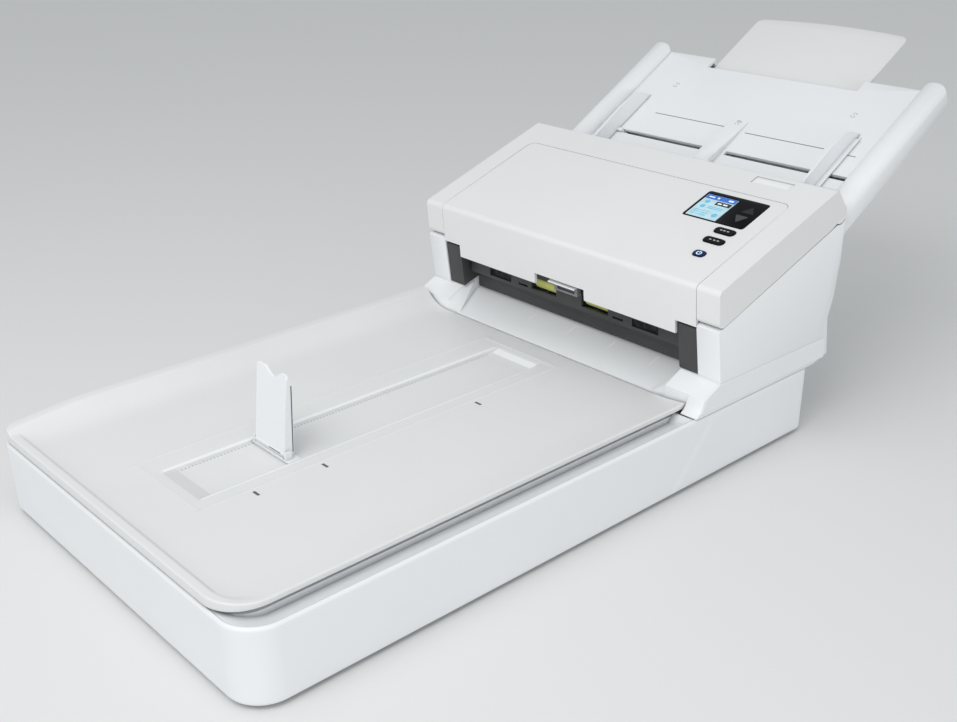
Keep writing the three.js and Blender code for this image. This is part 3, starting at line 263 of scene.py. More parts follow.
MATERIALS = {
    "shell_white": moulded_plastic("shell_white", (0.80, 0.812, 0.825), 0.42),
    "glass": clear_glass("glass"),
    "steel": brushed_metal("steel", (0.60, 0.61, 0.62)),
    "black_rubber": rubber("black_rubber", (0.045, 0.045, 0.045)),
    "circuit_board": solder_mask("circuit_board"),
    "grey_plastic": moulded_plastic("grey_plastic", (0.22, 0.225, 0.23), 0.5),
    "charcoal_plastic": moulded_plastic("charcoal_plastic", (0.048, 0.050, 0.050), 0.45, recess_shade=0.8),
    "natural_nylon": moulded_plastic("natural_nylon", (0.78, 0.74, 0.64), 0.45),
    "foam": foam_film("foam"),
    "gloss_black": gloss_plastic("gloss_black", (0.002, 0.002, 0.003), 0.3, 0.0, 0.1),
    "display": lit_screen("display", (0.41, 0.585, 0.64)),
    "navy": gloss_plastic("navy", (0.004, 0.012, 0.05), 0.3, 0.0, 0.15),
    "green_rubber": rubber("green_rubber", (0.55, 0.57, 0.17), 0.5),
    "tray_white": moulded_plastic("tray_white", (0.73, 0.733, 0.736), 0.46),
    "cover_white": moulded_plastic("cover_white", (0.75, 0.752, 0.752), 0.42),
    # Painted highlight: a lighter copy of the white, for the slot runners and the rear scoop.
    "runner_painted_highlight": moulded_plastic("runner_painted_highlight", (0.82, 0.835, 0.85), 0.36),
    # Painted shade: a grey copy of the white, for the front scoop of the slot.
    "front_scoop_painted_shade": moulded_plastic("front_scoop_painted_shade", (0.66, 0.665, 0.67), 0.45),
    "screen_blue": lit_screen("screen_blue", (0.02, 0.12, 0.50)),
    "screen_cyan": lit_screen("screen_cyan", (0.12, 0.42, 0.62)),
    "screen_black": lit_screen("screen_black", (0.004, 0.006, 0.012), 0.0),
    "screen_pale": lit_screen("screen_pale", (0.75, 0.86, 0.90)),
    "ink_grey": print_ink("ink_grey", (0.10, 0.105, 0.11)),
    "ink_pale": print_ink("ink_pale", (0.42, 0.43, 0.44)),
    "icon_blue": lit_screen("icon_blue", (0.45, 0.66, 0.95), 0.8),
    "arrow_grey": print_ink("arrow_grey", (0.055, 0.056, 0.06)),
    "arrow_dim": print_ink("arrow_dim", (0.022, 0.023, 0.025)),
}


# ---------------------------------------------------------------- drawing shapes

PLANES = {"xy": (0, 1, 2), "yz": (1, 2, 0), "xz": (0, 2, 1)}


def smooth_step(value):
    value = min(max(value, 0.0), 1.0)
    return value * value * (3 - 2 * value)


def spaced(start, end, step):
    count = max(1, round(abs(end - start) / step))
    return [start + (end - start) * index / count for index in range(count + 1)]


def arc(cx, cy, radius, start, end, steps=8):
    if radius <= 0:
        return [(cx, cy)]
    angles = [math.radians(angle) for angle in spaced(start, end, abs(end - start) / steps)]
    return [(cx + radius * math.cos(angle), cy + radius * math.sin(angle)) for angle in angles]


def rounded_box(x0, x1, y0, y1, radii, steps=8):
    """Rectangle outline; radii run front left, front right, rear right, rear left."""
    if not isinstance(radii, (tuple, list)):
        radii = (radii,) * 4
    a, b, c, d = radii
    return (arc(x0 + a, y0 + a, a, 180, 270, steps) + arc(x1 - b, y0 + b, b, 270, 360, steps)
            + arc(x1 - c, y1 - c, c, 0, 90, steps) + arc(x0 + d, y1 - d, d, 90, 180, steps))


def filleted(corners, steps=5):
    """Outline whose corners are (a, b, radius)."""
    points = []
    count = len(corners)
    for index, (a, b, radius) in enumerate(corners):
        here = Vector((a, b))
        if radius <= 0:
            points.append((a, b))
            continue
        before = (Vector(corners[index - 1][:2]) - here).normalized()
        after = (Vector(corners[(index + 1) % count][:2]) - here).normalized()
        half = before.angle(after) / 2
        reach = radius / math.tan(half)
        centre = here + (before + after).normalized() * (radius / math.sin(half))
        start = here + before * reach - centre
        end = here + after * reach - centre
        turn = start.angle_signed(end)
        for step in range(steps + 1):
            spun = start.copy()
            spun.rotate(Matrix.Rotation(-turn * step / steps, 2))
            points.append(tuple(centre + spun))
    return points


def prism(outline, low, high, plane="xy"):
    """Solid between two levels of the axis square to the plane of its outline."""
    across, along, up = PLANES[plane]
    shape = bmesh.new()
    rings = []
    for level in (low, high):
        ring = []
        for a, b in outline:
            point = [0.0, 0.0, 0.0]
            point[across], point[along], point[up] = a, b, level
            ring.append(shape.verts.new(point))
        rings.append(ring)
    bridge(shape, rings)
    shape.faces.new(rings[0])
    shape.faces.new(rings[1])
    bmesh.ops.recalc_face_normals(shape, faces=shape.faces)
    return shape


def block(x0, x1, y0, y1, z0, z1):
    return prism([(x0, y0), (x1, y0), (x1, y1), (x0, y1)], z0, z1)


def bridge(shape, rings, closed=True):
    for lower, upper in zip(rings, rings[1:]):
        count = len(lower)
        for index in range(count if closed else count - 1):
            after = (index + 1) % count
            shape.faces.new((lower[index], lower[after], upper[after], upper[index]))


def turned(profile, axis="z", centre=(0, 0, 0), steps=48):
    """Solid of revolution; the profile is (radius, height along the axis) from end to end."""
    shape = bmesh.new()
    rings = []
    for radius, height in profile:
        ring = []
        for step in range(steps):
            angle = math.tau * step / steps
            across, along = radius * math.cos(angle), radius * math.sin(angle)
            point = {"x": (height, across, along), "y": (across, height, along),
                     "z": (across, along, height)}[axis]
            ring.append(shape.verts.new(Vector(point) + Vector(centre)))
        rings.append(ring)
    bridge(shape, rings)
    shape.faces.new(rings[0])
    shape.faces.new(rings[-1])
    bmesh.ops.recalc_face_normals(shape, faces=shape.faces)
    return shape


def lofted(rings):
    """Closed solid through rings of matching points, capped at both ends."""
    shape = bmesh.new()
    made = [[shape.verts.new(point) for point in ring] for ring in rings]
    bridge(shape, made)
    shape.faces.new(made[0])
    shape.faces.new(made[-1])
    bmesh.ops.recalc_face_normals(shape, faces=shape.faces)
    return shape


def together(*shapes):
    whole = bmesh.new()
    for shape in shapes:
        scratch = bpy.data.meshes.new("scratch")
        shape.to_mesh(scratch)
        shape.free()
        whole.from_mesh(scratch)
        bpy.data.meshes.remove(scratch)
    return whole


def linked(name, data):
    thing = bpy.data.objects.new(name, data)
    bpy.context.scene.collection.objects.link(thing)
    return thing


def as_object(name, shape, place):
    mesh = bpy.data.meshes.new(name)
    shape.to_mesh(mesh)
    shape.free()
    mesh.transform(place @ Matrix.Scale(MM, 4))
    return linked(name, mesh)


def bake(thing):
    depsgraph = bpy.context.evaluated_depsgraph_get()
    mesh = bpy.data.meshes.new_from_object(thing.evaluated_get(depsgraph))
    before = thing.data
    thing.modifiers.clear()
    thing.data = mesh
    bpy.data.meshes.remove(before)


def round_edges(thing, width, segments=2, angle=30):
    bevel = thing.modifiers.new("edges", "BEVEL")
    bevel.width = width * MM
    bevel.segments = segments
    bevel.limit_method = "ANGLE"
    bevel.angle_limit = math.radians(angle)
    bevel.harden_normals = True


def make(name, shape, body, finish, place=BASE_FRAME, stands_for=(), joins=(), cuts=(), edge=0.4, segments=2,
         angle=30):
    """Finishes a drawn shape: joins and cuts it, rounds its edges and mounts it on a CAD body."""
    thing = as_object(name, shape, place)
    helpers = []
    for operation, others in (("UNION", joins), ("DIFFERENCE", cuts)):
        for other in others:
            helper = as_object("helper", other, place)
            boolean = thing.modifiers.new("shape", "BOOLEAN")
            boolean.operation = operation
            boolean.object = helper
            boolean.solver = "EXACT"
            helpers.append(helper)
    if edge:
        round_edges(thing, edge, segments, angle)
    if thing.modifiers:
        bake(thing)
    for helper in helpers:
        bpy.data.objects.remove(helper)
    thing.data.materials.clear()
    thing.data.materials.append(MATERIALS[finish])
    for polygon in thing.data.polygons:
        polygon.use_smooth = True
    thing.data.set_sharp_from_angle(angle=math.radians(angle))
    level = thing.modifiers.new("level", "WEIGHTED_NORMAL")
    level.keep_sharp = True
    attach(thing, body)
    if stands_for:
        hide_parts(*stands_for)
    return thing


# ---------------------------------------------------------------- CAD nodes that are shown as they are

def soften(node, width, angle=30, segments=2):
    """Rounds a CAD node's edges with modifiers and leaves its own mesh as it is."""
    weld = node.modifiers.new("weld", "WELD")
    weld.merge_threshold = 0.00001
    flats = node.modifiers.new("flats", "DECIMATE")
    flats.decimate_type = "DISSOLVE"
    flats.angle_limit = math.radians(1)
    round_edges(node, width, segments, angle)


EDGE_WIDTHS = {"head_housing": 0.55, "hopper_tray": 0.7, "hopper_back": 0.8}
FINISHES = {"hopper_extension": "tray_white"}


def dress_cad_nodes():
    for subpart in frame["record"]["subparts"]:
        node = frame["nodes"][subpart["node"]]
        node.data.materials.clear()
        node.data.materials.append(MATERIALS[FINISHES.get(node.name, subpart["material_slot"])])
        for polygon in node.data.polygons:
            polygon.use_smooth = True
        soften(node, EDGE_WIDTHS.get(node.name, 0.3))


# ---------------------------------------------------------------- document lid

LID_FRONT_LEFT = 10.0
LID_FRONT_RIGHT = 30.0
LID_EDGE = 1.2
FRONT_RIM = 4.5
FRONT_RIM_FLAT = 6.0
FRONT_RIM_END = 11.0
WALL_FOOT = 41.0
WALL_RISE = 14.0
WALL_SHOULDER = 9.0
WALL_DIP_START = 70.0
RIGHT_FOOT = 35.0
RIGHT_RISE = 3.0
SLOT = (-33.5, 18.5, 62.6, 390.5)
SLOT_DEPTH = 2.3
SLOT_FRONT_SCOOP = 11.0
SLOT_REAR_SCOOP = 7.0
SLOT_WALL = 0.8
SLOT_LIP = 3.2
SLOT_LIP_DROP = 0.5
LINE_FRAME = (-57.5, 32.5, 54.0, 398.0)
LINE_HALF = 0.7
LINE_RISE = 0.35


def corner_turn(x, y, cx, cy, side):
    """0 beside a corner, 1 in front of it, and a smooth turn between the two."""
    across = (cx - x) * side
    along = cy - y
    if along <= 0:
        return 0.0
    if across <= 0:
        return 1.0
    return smooth_step(math.atan2(along, across) / (math.pi / 2))


def lid_margin(x, y):
    """Distance in from the lid's outline."""
    margin = min(x - LID_LEFT, LID_RIGHT - x, y - LID_FRONT)
    for cx, side, radius in ((LID_LEFT + LID_FRONT_LEFT, 1, LID_FRONT_LEFT),
                             (LID_RIGHT - LID_FRONT_RIGHT, -1, LID_FRONT_RIGHT)):
        across = (cx - x) * side
        along = LID_FRONT + radius - y
        if across > 0 and along > 0:
            margin = radius - math.hypot(across, along)
    return max(margin, 0.0)


def wall_rise(x, y):
    """Height of the tall left wall over the tray: a flat crown, then a hollow sweep to the floor.
    The wall sinks a little towards the front."""
    inward = x - LID_LEFT
    if inward >= WALL_FOOT:
        return 0.0
    crown = WALL_RISE - 0.025 * max(0.0, WALL_DIP_START - y) ** 1.3
    if inward < WALL_SHOULDER:
        return crown - 0.35 * (inward / WALL_SHOULDER) ** 3
    share = (WALL_FOOT - inward) / (WALL_FOOT - WALL_SHOULDER)
    return (crown - 0.35) * share ** 2.6


def rim_rise(margin):
    return FRONT_RIM * (1 - smooth_step((margin - FRONT_RIM_FLAT) / (FRONT_RIM_END - FRONT_RIM_FLAT)))


def right_rise(margin):
    return RIGHT_RISE * max(0.0, 1 - margin / RIGHT_FOOT) ** 2


def within(x, y, box, reach):
    """1 inside a box, 0 beyond reach outside it."""
    x0, x1, y0, y1 = box
    inset = min(x - x0, x1 - x, y - y0, y1 - y)
    return min(max(1 + inset / reach, 0.0), 1.0)


def slot_drop(x, y):
    x0, x1, y0, y1 = SLOT
    walls = min((x - x0) / SLOT_WALL, (x1 - x) / SLOT_WALL, (y - y0) / SLOT_FRONT_SCOOP,
                (y1 - y) / SLOT_REAR_SCOOP)
    return SLOT_DEPTH * min(max(walls, 0.0), 1.0)


def line_rise(x, y):
    """Fine raised line that frames the slot."""
    x0, x1, y0, y1 = LINE_FRAME
    if not (x0 - LINE_HALF <= x <= x1 + LINE_HALF and y0 - LINE_HALF <= y <= y1 + LINE_HALF):
        return 0.0
    nearest = min(abs(x - x0), abs(x - x1), abs(y - y0), abs(y - y1))
    return LINE_RISE * max(0.0, 1 - nearest / LINE_HALF)


def lid_height(x, y):
    margin = lid_margin(x, y)
    if x < 0:
        rise = max(wall_rise(x, y), rim_rise(y - LID_FRONT))
    else:
        front = corner_turn(x, y, LID_RIGHT - LID_FRONT_RIGHT, LID_FRONT + LID_FRONT_RIGHT, -1)
        rise = right_rise(margin) * (1 - front) + rim_rise(margin) * front
    lip = SLOT_LIP_DROP * within(x, y, SLOT, SLOT_LIP)
    sunk = min(lip + slot_drop(x, y), SLOT_DEPTH)
    return LID_FLOOR + rise - sunk + line_rise(x, y)


def lid_lines():
    """Grid lines of the lid's top: close together at edges and features, far apart between them."""
    x0, x1, y0, y1 = SLOT
    a0, a1, b0, b1 = LINE_FRAME
    left = LID_LEFT + LID_EDGE
    right = LID_RIGHT - LID_EDGE
    across = [left + offset for offset in (0, 0.8, 2, 4, 6, 7.2, 8, 8.8, 9.6, 10.6, 12, 14, 16, 18.5, 21.5,
                                           25, 29, 34)]
    across += spaced(LID_LEFT + WALL_FOOT, a0 - 1.5, 12)
    across += [a0 - LINE_HALF, a0, a0 + LINE_HALF, a0 + 1.5, x0 - 12, x0 - SLOT_LIP, x0, x0 + SLOT_WALL]
    across += spaced(x0 + 1.6, x1 - 1.6, 8)
    across += [x1 - SLOT_WALL, x1, x1 + SLOT_LIP, a1 - 1.5, a1 - LINE_HALF, a1, a1 + LINE_HALF, a1 + 1.5]
    across += spaced(a1 + 10, LID_RIGHT - RIGHT_FOOT, 12)
    across += [LID_RIGHT - RIGHT_FOOT + (RIGHT_FOOT - LID_EDGE) * share ** 0.8
               for share in (0.12, 0.24, 0.36, 0.48, 0.6, 0.7, 0.8, 0.88, 0.95)] + [right]
    front = LID_FRONT + LID_EDGE
    along = [front + offset for offset in (0, 0.25, 0.7, 1.4, 2.2, 3.2, 4.4, 5.4, 6.4, 7.4, 8.4, 9.4, 10.4,
                                           12, 14, 16.5, 19.5, 23, 26, 28.8, 33, 38)]
    along += [46, b0 - LINE_HALF, b0, b0 + LINE_HALF, y0 - SLOT_LIP, y0, y0 + SLOT_FRONT_SCOOP]
    along += spaced(y0 + SLOT_FRONT_SCOOP + 10, y1 - SLOT_REAR_SCOOP - 10, 10)
    along += [y1 - SLOT_REAR_SCOOP, y1, y1 + SLOT_LIP, b1 - LINE_HALF, b1, b1 + LINE_HALF, 406,
              LID_REAR - LID_EDGE - 3, LID_REAR - LID_EDGE]
    return across, along


def lid_reach(y, side):
    """Where the lid's outline, drawn in by its rounded edge, lies at a given distance from the front."""
    radius = LID_FRONT_LEFT if side < 0 else LID_FRONT_RIGHT
    outer = LID_LEFT + LID_EDGE if side < 0 else LID_RIGHT - LID_EDGE
    depth = LID_FRONT + radius - y
    if depth <= 0:
        return outer
    small = radius - LID_EDGE
    return outer - side * (small - math.sqrt(max(small ** 2 - depth ** 2, 0)))


def squeezed(x, y):
    """Moves a grid point near a rounded front corner in, so that the grid ends on the outline."""
    left_fix = LID_LEFT + WALL_FOOT
    right_fix = LID_RIGHT - RIGHT_FOOT
    if x < left_fix:
        edge = LID_LEFT + LID_EDGE
        return left_fix - (left_fix - x) * (left_fix - lid_reach(y, -1)) / (left_fix - edge)
    if x > right_fix:
        edge = LID_RIGHT - LID_EDGE
        return right_fix + (x - right_fix) * (lid_reach(y, 1) - right_fix) / (edge - right_fix)
    return x


def lid_normal(x, y):
    """Outward direction of the lid's outline, seen from above."""
    for side, radius, edge in ((-1, LID_FRONT_LEFT, LID_LEFT), (1, LID_FRONT_RIGHT, LID_RIGHT)):
        centre = Vector((edge - side * radius, LID_FRONT + radius))
        offset = Vector((x, y)) - centre
        if offset.x * side > 0 and offset.y < 0:
            return offset.normalized()
    if y <= LID_FRONT + LID_EDGE + 0.01:
        return Vector((0, -1))
    at_rear = y >= LID_REAR - LID_EDGE - 0.01
    at_left = x <= LID_LEFT + LID_EDGE + 0.01
    at_right = x >= LID_RIGHT - LID_EDGE - 0.01
    sideways = -1 if at_left else 1 if at_right else 0
    return Vector((sideways, 1 if at_rear else 0))


def lid_shape():
    shape = bmesh.new()
    across, along = lid_lines()
    grid = []
    for y in along:
        row = []
        for line in across:
            x = squeezed(line, y)
            row.append(shape.verts.new((x, y, lid_height(x, y))))
        grid.append(row)
    bridge(shape, grid, closed=False)
    loop = grid[0] + [row[-1] for row in grid[1:-1]] + grid[-1][::-1] + [row[0] for row in grid[-2:0:-1]]
    rings = [loop]
    levels = [(math.sin(math.radians(turn)), "top", 1 - math.cos(math.radians(turn)))
              for turn in (30, 60, 90)]
    levels += [(1.0, "foot", 1.3), (0.6, "foot", 0.45), (-0.2, "foot", 0.0), (-3.0, "flat", 0.0)]
    for outward, base, value in levels:
        ring = []
        for vertex in loop:
            x, y, z = vertex.co
            normal = lid_normal(x, y)
            share = corner_turn(x, y, LID_RIGHT - LID_FRONT_RIGHT, LID_FRONT + LID_FRONT_RIGHT, -1)
            lift = 1.6 * (1 - share) if x > LID_RIGHT - LID_FRONT_RIGHT and y < LID_REAR - 4 else 0.0
            height = z - LID_EDGE * value
            if base == "foot":
                height = LID_UNDERSIDE + lift + value
            if base == "flat":
                height = LID_UNDERSIDE
            ring.append(shape.verts.new((x + normal.x * LID_EDGE * outward, y + normal.y * LID_EDGE * outward,
                                         height)))
        rings.append(ring)
    bridge(shape, rings)
    shape.faces.new(rings[-1])
    bmesh.ops.recalc_face_normals(shape, faces=shape.faces)
    return shape


LID_HINGES = (60.0, 360.0)


def build_lid():
    pockets = []
    for y in LID_HINGES:
        pockets.append(block(LID_LEFT - 1, LID_LEFT + 11.3, y - 9, y + 9, LID_UNDERSIDE - 2, 70.7))
        pockets.append(turned([(2.6, y - 24), (2.6, y + 24)], "y", (-166, 0, 66.5), 20))
    make("document_lid_skin", lid_shape(), "lid", "tray_white", stands_for=("document_lid",), cuts=pockets,
         edge=0, angle=50)


def build_slot_runners():
    """Smooth runners beside the slot and the sloping faces at its two ends. The runners and the rear face are
    coloured lighter than the tray as a painted highlight, and the front face is coloured grey as painted shade.
    """
    x0, x1, y0, y1 = SLOT
    crest = LID_FLOOR + 0.06
    lip = crest - SLOT_LIP_DROP
    floor = LID_FLOOR - SLOT_DEPTH
    runners = []
    for outer, inner in ((x0 - SLOT_LIP, x0 + 0.1), (x1 + SLOT_LIP, x1 - 0.1)):
        outline = [(outer, crest - 0.2), (outer, crest), (inner, lip), (inner, lip - 0.4)]
        runners.append(prism(outline, y0 + 1, y1 - 1, "xz"))
    faces = []
    for foot, head in ((y1 - SLOT_REAR_SCOOP, y1), (y0 + SLOT_FRONT_SCOOP, y0)):
        outline = [(foot, floor), (foot, floor + 0.06), (head, lip), (head, lip - 0.3)]
        faces.append(prism(outline, x0 + 1.6, x1 - 1.6, "yz"))
    rear, front = faces
    # Painted highlight: the runners and the rear face are coloured lighter than the tray.
    make("slot_runners", together(*runners, rear), "lid", "runner_painted_highlight", edge=0)
    # Painted shade: the front face is coloured darker than the tray.
    make("slot_front_face", front, "lid", "front_scoop_painted_shade", edge=0)


TEETH_PITCH = 3.0


def build_slot_teeth():
    """Row of small catches along the left side of the slot, that hold the stopper where it's set."""
    x = SLOT[0] + 2.6
    floor = LID_FLOOR - SLOT_DEPTH
    teeth = []
    for y in spaced(SLOT[2] + 14, SLOT[3] - 14, TEETH_PITCH):
        foot = rounded_box(x - 0.9, x + 0.9, y - 0.75, y + 0.75, 0.3, 2)
        crown = rounded_box(x - 0.6, x + 0.6, y - 0.45, y + 0.45, 0.2, 2)
        teeth.append(lofted([[(a, b, floor - 0.1) for a, b in foot],
                             [(a, b, floor + 0.25) for a, b in crown]]))
    make("slot_catches", together(*teeth), "lid", "ink_pale", edge=0)


TICK_ROWS = (95.8, 154.4, 303.4)


def build_size_ticks():
    ticks = []
    for y in TICK_ROWS:
        ticks.append(prism(rounded_box(36, 43, y - 1.1, y + 1.1, 0.4, 2), LID_FLOOR - 0.1, LID_FLOOR + 0.06))
    make("size_ticks", together(*ticks), "lid", "ink_grey", edge=0)


# ---------------------------------------------------------------- flatbed base

WALL_DRAFT = 1.0
CREASE_TOP = (426.0, 50.0)
CREASE_FOOT = (387.0, 5.0)
CREASE_STEP = 0.7
CREASE_WIDTH = 1.8


def outline_normal(x, y, box, radii):
    """Outward direction at a point of a rounded rectangle."""
    x0, x1, y0, y1 = box
    a, b, c, d = radii
    for cx, cy, sx, sy in ((x0 + a, y0 + a, -1, -1), (x1 - b, y0 + b, 1, -1),
                           (x1 - c, y1 - c, 1, 1), (x0 + d, y1 - d, -1, 1)):
        offset = Vector((x - cx, y - cy))
        if offset.x * sx >= -0.001 and offset.y * sy >= -0.001:
            return offset.normalized()
    sides = [(x - x0, Vector((-1, 0))), (x1 - x, Vector((1, 0))), (y - y0, Vector((0, -1))),
             (y1 - y, Vector((0, 1)))]
    return min(sides, key=lambda side: abs(side[0]))[1]


def split_sides(outline, stations):
    """Adds points, at the given distances from the front, to an outline's two long sides."""
    points = []
    for (x0, y0), (x1, y1) in zip(outline, outline[1:] + outline[:1]):
        points.append((x0, y0))
        if abs(x0 - x1) < 0.01 and abs(y0 - y1) > 100:
            points += [(x0, y) for y in (stations if y1 > y0 else stations[::-1])]
    return points


def crease_offset(x, y, z):
    """Rear part of each side wall stands a little proud of the front part, along a slanting line."""
    if abs(x) < HALF_WIDTH - 2 or y > 540:
        return 0.0
    share = (z - CREASE_FOOT[1]) / (CREASE_TOP[1] - CREASE_FOOT[1])
    line = CREASE_FOOT[0] + (CREASE_TOP[0] - CREASE_FOOT[0]) * share
    return CREASE_STEP * smooth_step((y - line) / CREASE_WIDTH + 0.5) * smooth_step((z - 3) / 6)


def build_base_shell():
    box = (-HALF_WIDTH, HALF_WIDTH, 0.0, BASE_LENGTH)
    outline = split_sides(rounded_box(*box, BASE_CORNERS, 12),
                          spaced(60, 360, 25) + spaced(380, 432, 1.3) + spaced(450, 530, 20))
    normals = [outline_normal(x, y, box, BASE_CORNERS) for x, y in outline]
    foot_round = 2.6
    top_round = 2.3
    levels = [(-9.0, FOOT_HEIGHT), (-foot_round - WALL_DRAFT, FOOT_HEIGHT)]
    for turn in (30, 60, 90):
        angle = math.radians(turn)
        levels.append((-WALL_DRAFT - foot_round * (1 - math.sin(angle)),
                       FOOT_HEIGHT + foot_round * (1 - math.cos(angle))))
    wall_foot = FOOT_HEIGHT + foot_round
    wall_head = BASE_TOP - top_round
    for z in spaced(wall_foot, wall_head, 3)[1:]:
        levels.append((-WALL_DRAFT * (wall_head - z) / (wall_head - wall_foot), z))
    for turn in (30, 60, 90):
        angle = math.radians(turn)
        levels.append((-top_round * (1 - math.cos(angle)), wall_head + top_round * math.sin(angle)))
    levels += [(-WALL + 0.3, BASE_TOP), (-WALL, BASE_TOP - 0.4), (-WALL, FOOT_HEIGHT + WALL + 0.8),
               (-WALL - 0.8, FOOT_HEIGHT + WALL)]
    rings = []
    for index, (offset, z) in enumerate(levels):
        outside = index < len(levels) - 4
        ring = []
        for (x, y), normal in zip(outline, normals):
            out = offset + (crease_offset(x, y, z) if outside else 0.0)
            ring.append((x + normal.x * out, y + normal.y * out, z))
        rings.append(ring)
    post = turned([(7, 4), (7, 25), (2.4, 25), (2.4, 34)], "z", (100, 32, 0))
    make("base_shell_skin", together(lofted(rings), post), "base", "shell_white", stands_for=("base_shell",),
         edge=0, angle=50)


PLATEN_TOP = 58.0
PLATEN_HALF = 110.0
PLATEN_FRONT = 25.0
PLATEN_REAR = 385.0
TROUGH_FLOOR = 53.4
TROUGH_INSET = 5.0
TROUGH_END = 411.0


def trough_stations():
    """Pairs of points across the finger trough, with the height of its inner side."""
    fit = WALL + 0.15
    corner = BASE_CORNERS[1]
    outer_centre = Vector((HALF_WIDTH - corner, corner))
    inner_centre = Vector((LID_RIGHT - LID_FRONT_RIGHT, LID_FRONT + LID_FRONT_RIGHT))
    outer_radius = corner - fit
    inner_radius = LID_FRONT_RIGHT - TROUGH_INSET
    stations = []
    for share in spaced(0, 1, 0.25)[:-1]:
        outer = Vector((100 + (outer_centre.x - 100) * share, outer_centre.y - outer_radius))
        inner = Vector((100 + (inner_centre.x - 100) * share, inner_centre.y - inner_radius))
        stations.append((outer, inner, 0.0))
    for turn in spaced(-90, 0, 7.5):
        direction = Vector((math.cos(math.radians(turn)), math.sin(math.radians(turn))))
        stations.append((outer_centre + direction * outer_radius, inner_centre + direction * inner_radius,
                         smooth_step((turn + 90) / 100)))
    for y in spaced(50, TROUGH_END - 8, 12) + spaced(TROUGH_END - 7, TROUGH_END, 1):
        rise = smooth_step((y - TROUGH_END + 8) / 8)
        stations.append((Vector((HALF_WIDTH - fit, y)), Vector((LID_RIGHT - TROUGH_INSET, y)), 1 - rise))
    return stations


def build_platen_frame():
    rings = []
    crest = BASE_TOP - 0.25
    for outer, inner, depth in trough_stations():
        low = crest - 0.5 - (crest - 0.5 - TROUGH_FLOOR) * depth
        ring = [(outer.x, outer.y, 50.0)]
        for share in (0, 0.06, 0.15, 0.3, 0.45, 0.6, 0.75, 0.88, 1):
            point = outer.lerp(inner, share)
            drop = 0.55 * share * (2 - share) + 0.45 * share
            ring.append((point.x, point.y, crest - (crest - low) * drop))
        ring.append((inner.x, inner.y, 50.0))
        rings.append(ring)
    make("finger_trough", lofted(rings), "base", "shell_white", edge=0, angle=50)
    fit = WALL + 0.35
    plan = rounded_box(-HALF_WIDTH + fit, LID_RIGHT - TROUGH_INSET - 0.2, fit + 3.4, LID_REAR,
                       (8, 24, 0, 0), 10)
    cuts = [
        block(-PLATEN_HALF - 8, PLATEN_HALF + 8, PLATEN_FRONT - 8, PLATEN_REAR + 8, PLATEN_TOP - 4, 70),
        block(-PLATEN_HALF, PLATEN_HALF, PLATEN_FRONT, PLATEN_REAR, 40, 70),
        block(-150, 150, 14, LID_REAR + 1, 40, 52),
        block(-180, -140, 28, 92, PLATEN_TOP - 3, 70),
        block(-180, -140, 328, 392, PLATEN_TOP - 3, 70),
    ]
    make("platen_frame_skin", prism(plan, 49, PLATEN_TOP), "base", "shell_white",
         stands_for=("platen_frame",), cuts=cuts, edge=0.5)


def build_platen_details():
    """White strip round the glass, with plain size ticks along its rear and right sides."""
    strip = prism(rounded_box(-PLATEN_HALF - 7, PLATEN_HALF + 7, PLATEN_FRONT - 7, PLATEN_REAR + 7, 2, 3),
                  PLATEN_TOP - 0.35, PLATEN_TOP - 0.1)
    hole = prism(rounded_box(-PLATEN_HALF + 2, PLATEN_HALF - 2, PLATEN_FRONT + 2, PLATEN_REAR - 2, 1, 3),
                 50, 60)
    make("platen_border", strip, "base", "foam", cuts=[hole], edge=0)
    ticks = []
    levels = (PLATEN_TOP - 0.15, PLATEN_TOP - 0.04)
    for y in spaced(PLATEN_FRONT + 5, PLATEN_REAR - 5, 10):
        ticks.append(block(PLATEN_HALF - 1, PLATEN_HALF + 3, y - 0.2, y + 0.2, *levels))
    for x in spaced(-PLATEN_HALF + 5, PLATEN_HALF - 5, 10):
        ticks.append(block(x - 0.2, x + 0.2, PLATEN_REAR - 1, PLATEN_REAR + 3, *levels))
    make("platen_ticks", together(*ticks), "base", "ink_grey", edge=0)


# ---------------------------------------------------------------- stopper

STOPPER_LEFT = -29.0
STOPPER_RIGHT = 10.2
STOPPER_Y, STOPPER_PIVOT_Z = axis_point("stopper_fold")
STOPPER_TOP = 128.9
STOPPER_LEAN = math.radians(7.2)
STOPPER_PLATE = 2.4
STOPPER_FOOT = 65.5
FLANGE = 1.8
DIP_X = -8.0
DIP_DEPTH = 5.1
DIP_HALF = 11.5


def stopper_face(z):
    """Y of the front face, which leans back towards the head."""
    return STOPPER_Y - 2.8 + (z - 62.7) * math.tan(STOPPER_LEAN)


def stopper_top(x):
    """Top edge: a tall left peak, a dip, a second peak and a rounded right shoulder."""
    dip = DIP_DEPTH * max(0.0, 1 - ((x - DIP_X) / DIP_HALF) ** 2) ** 2
    left = 0.7 * max(0.0, 1 - (x - STOPPER_LEFT) / 1.2) ** 2
    right = 3.0 * max(0.0, 1 - (STOPPER_RIGHT - x) / 3.2) ** 2.4
    return STOPPER_TOP - dip - left - right


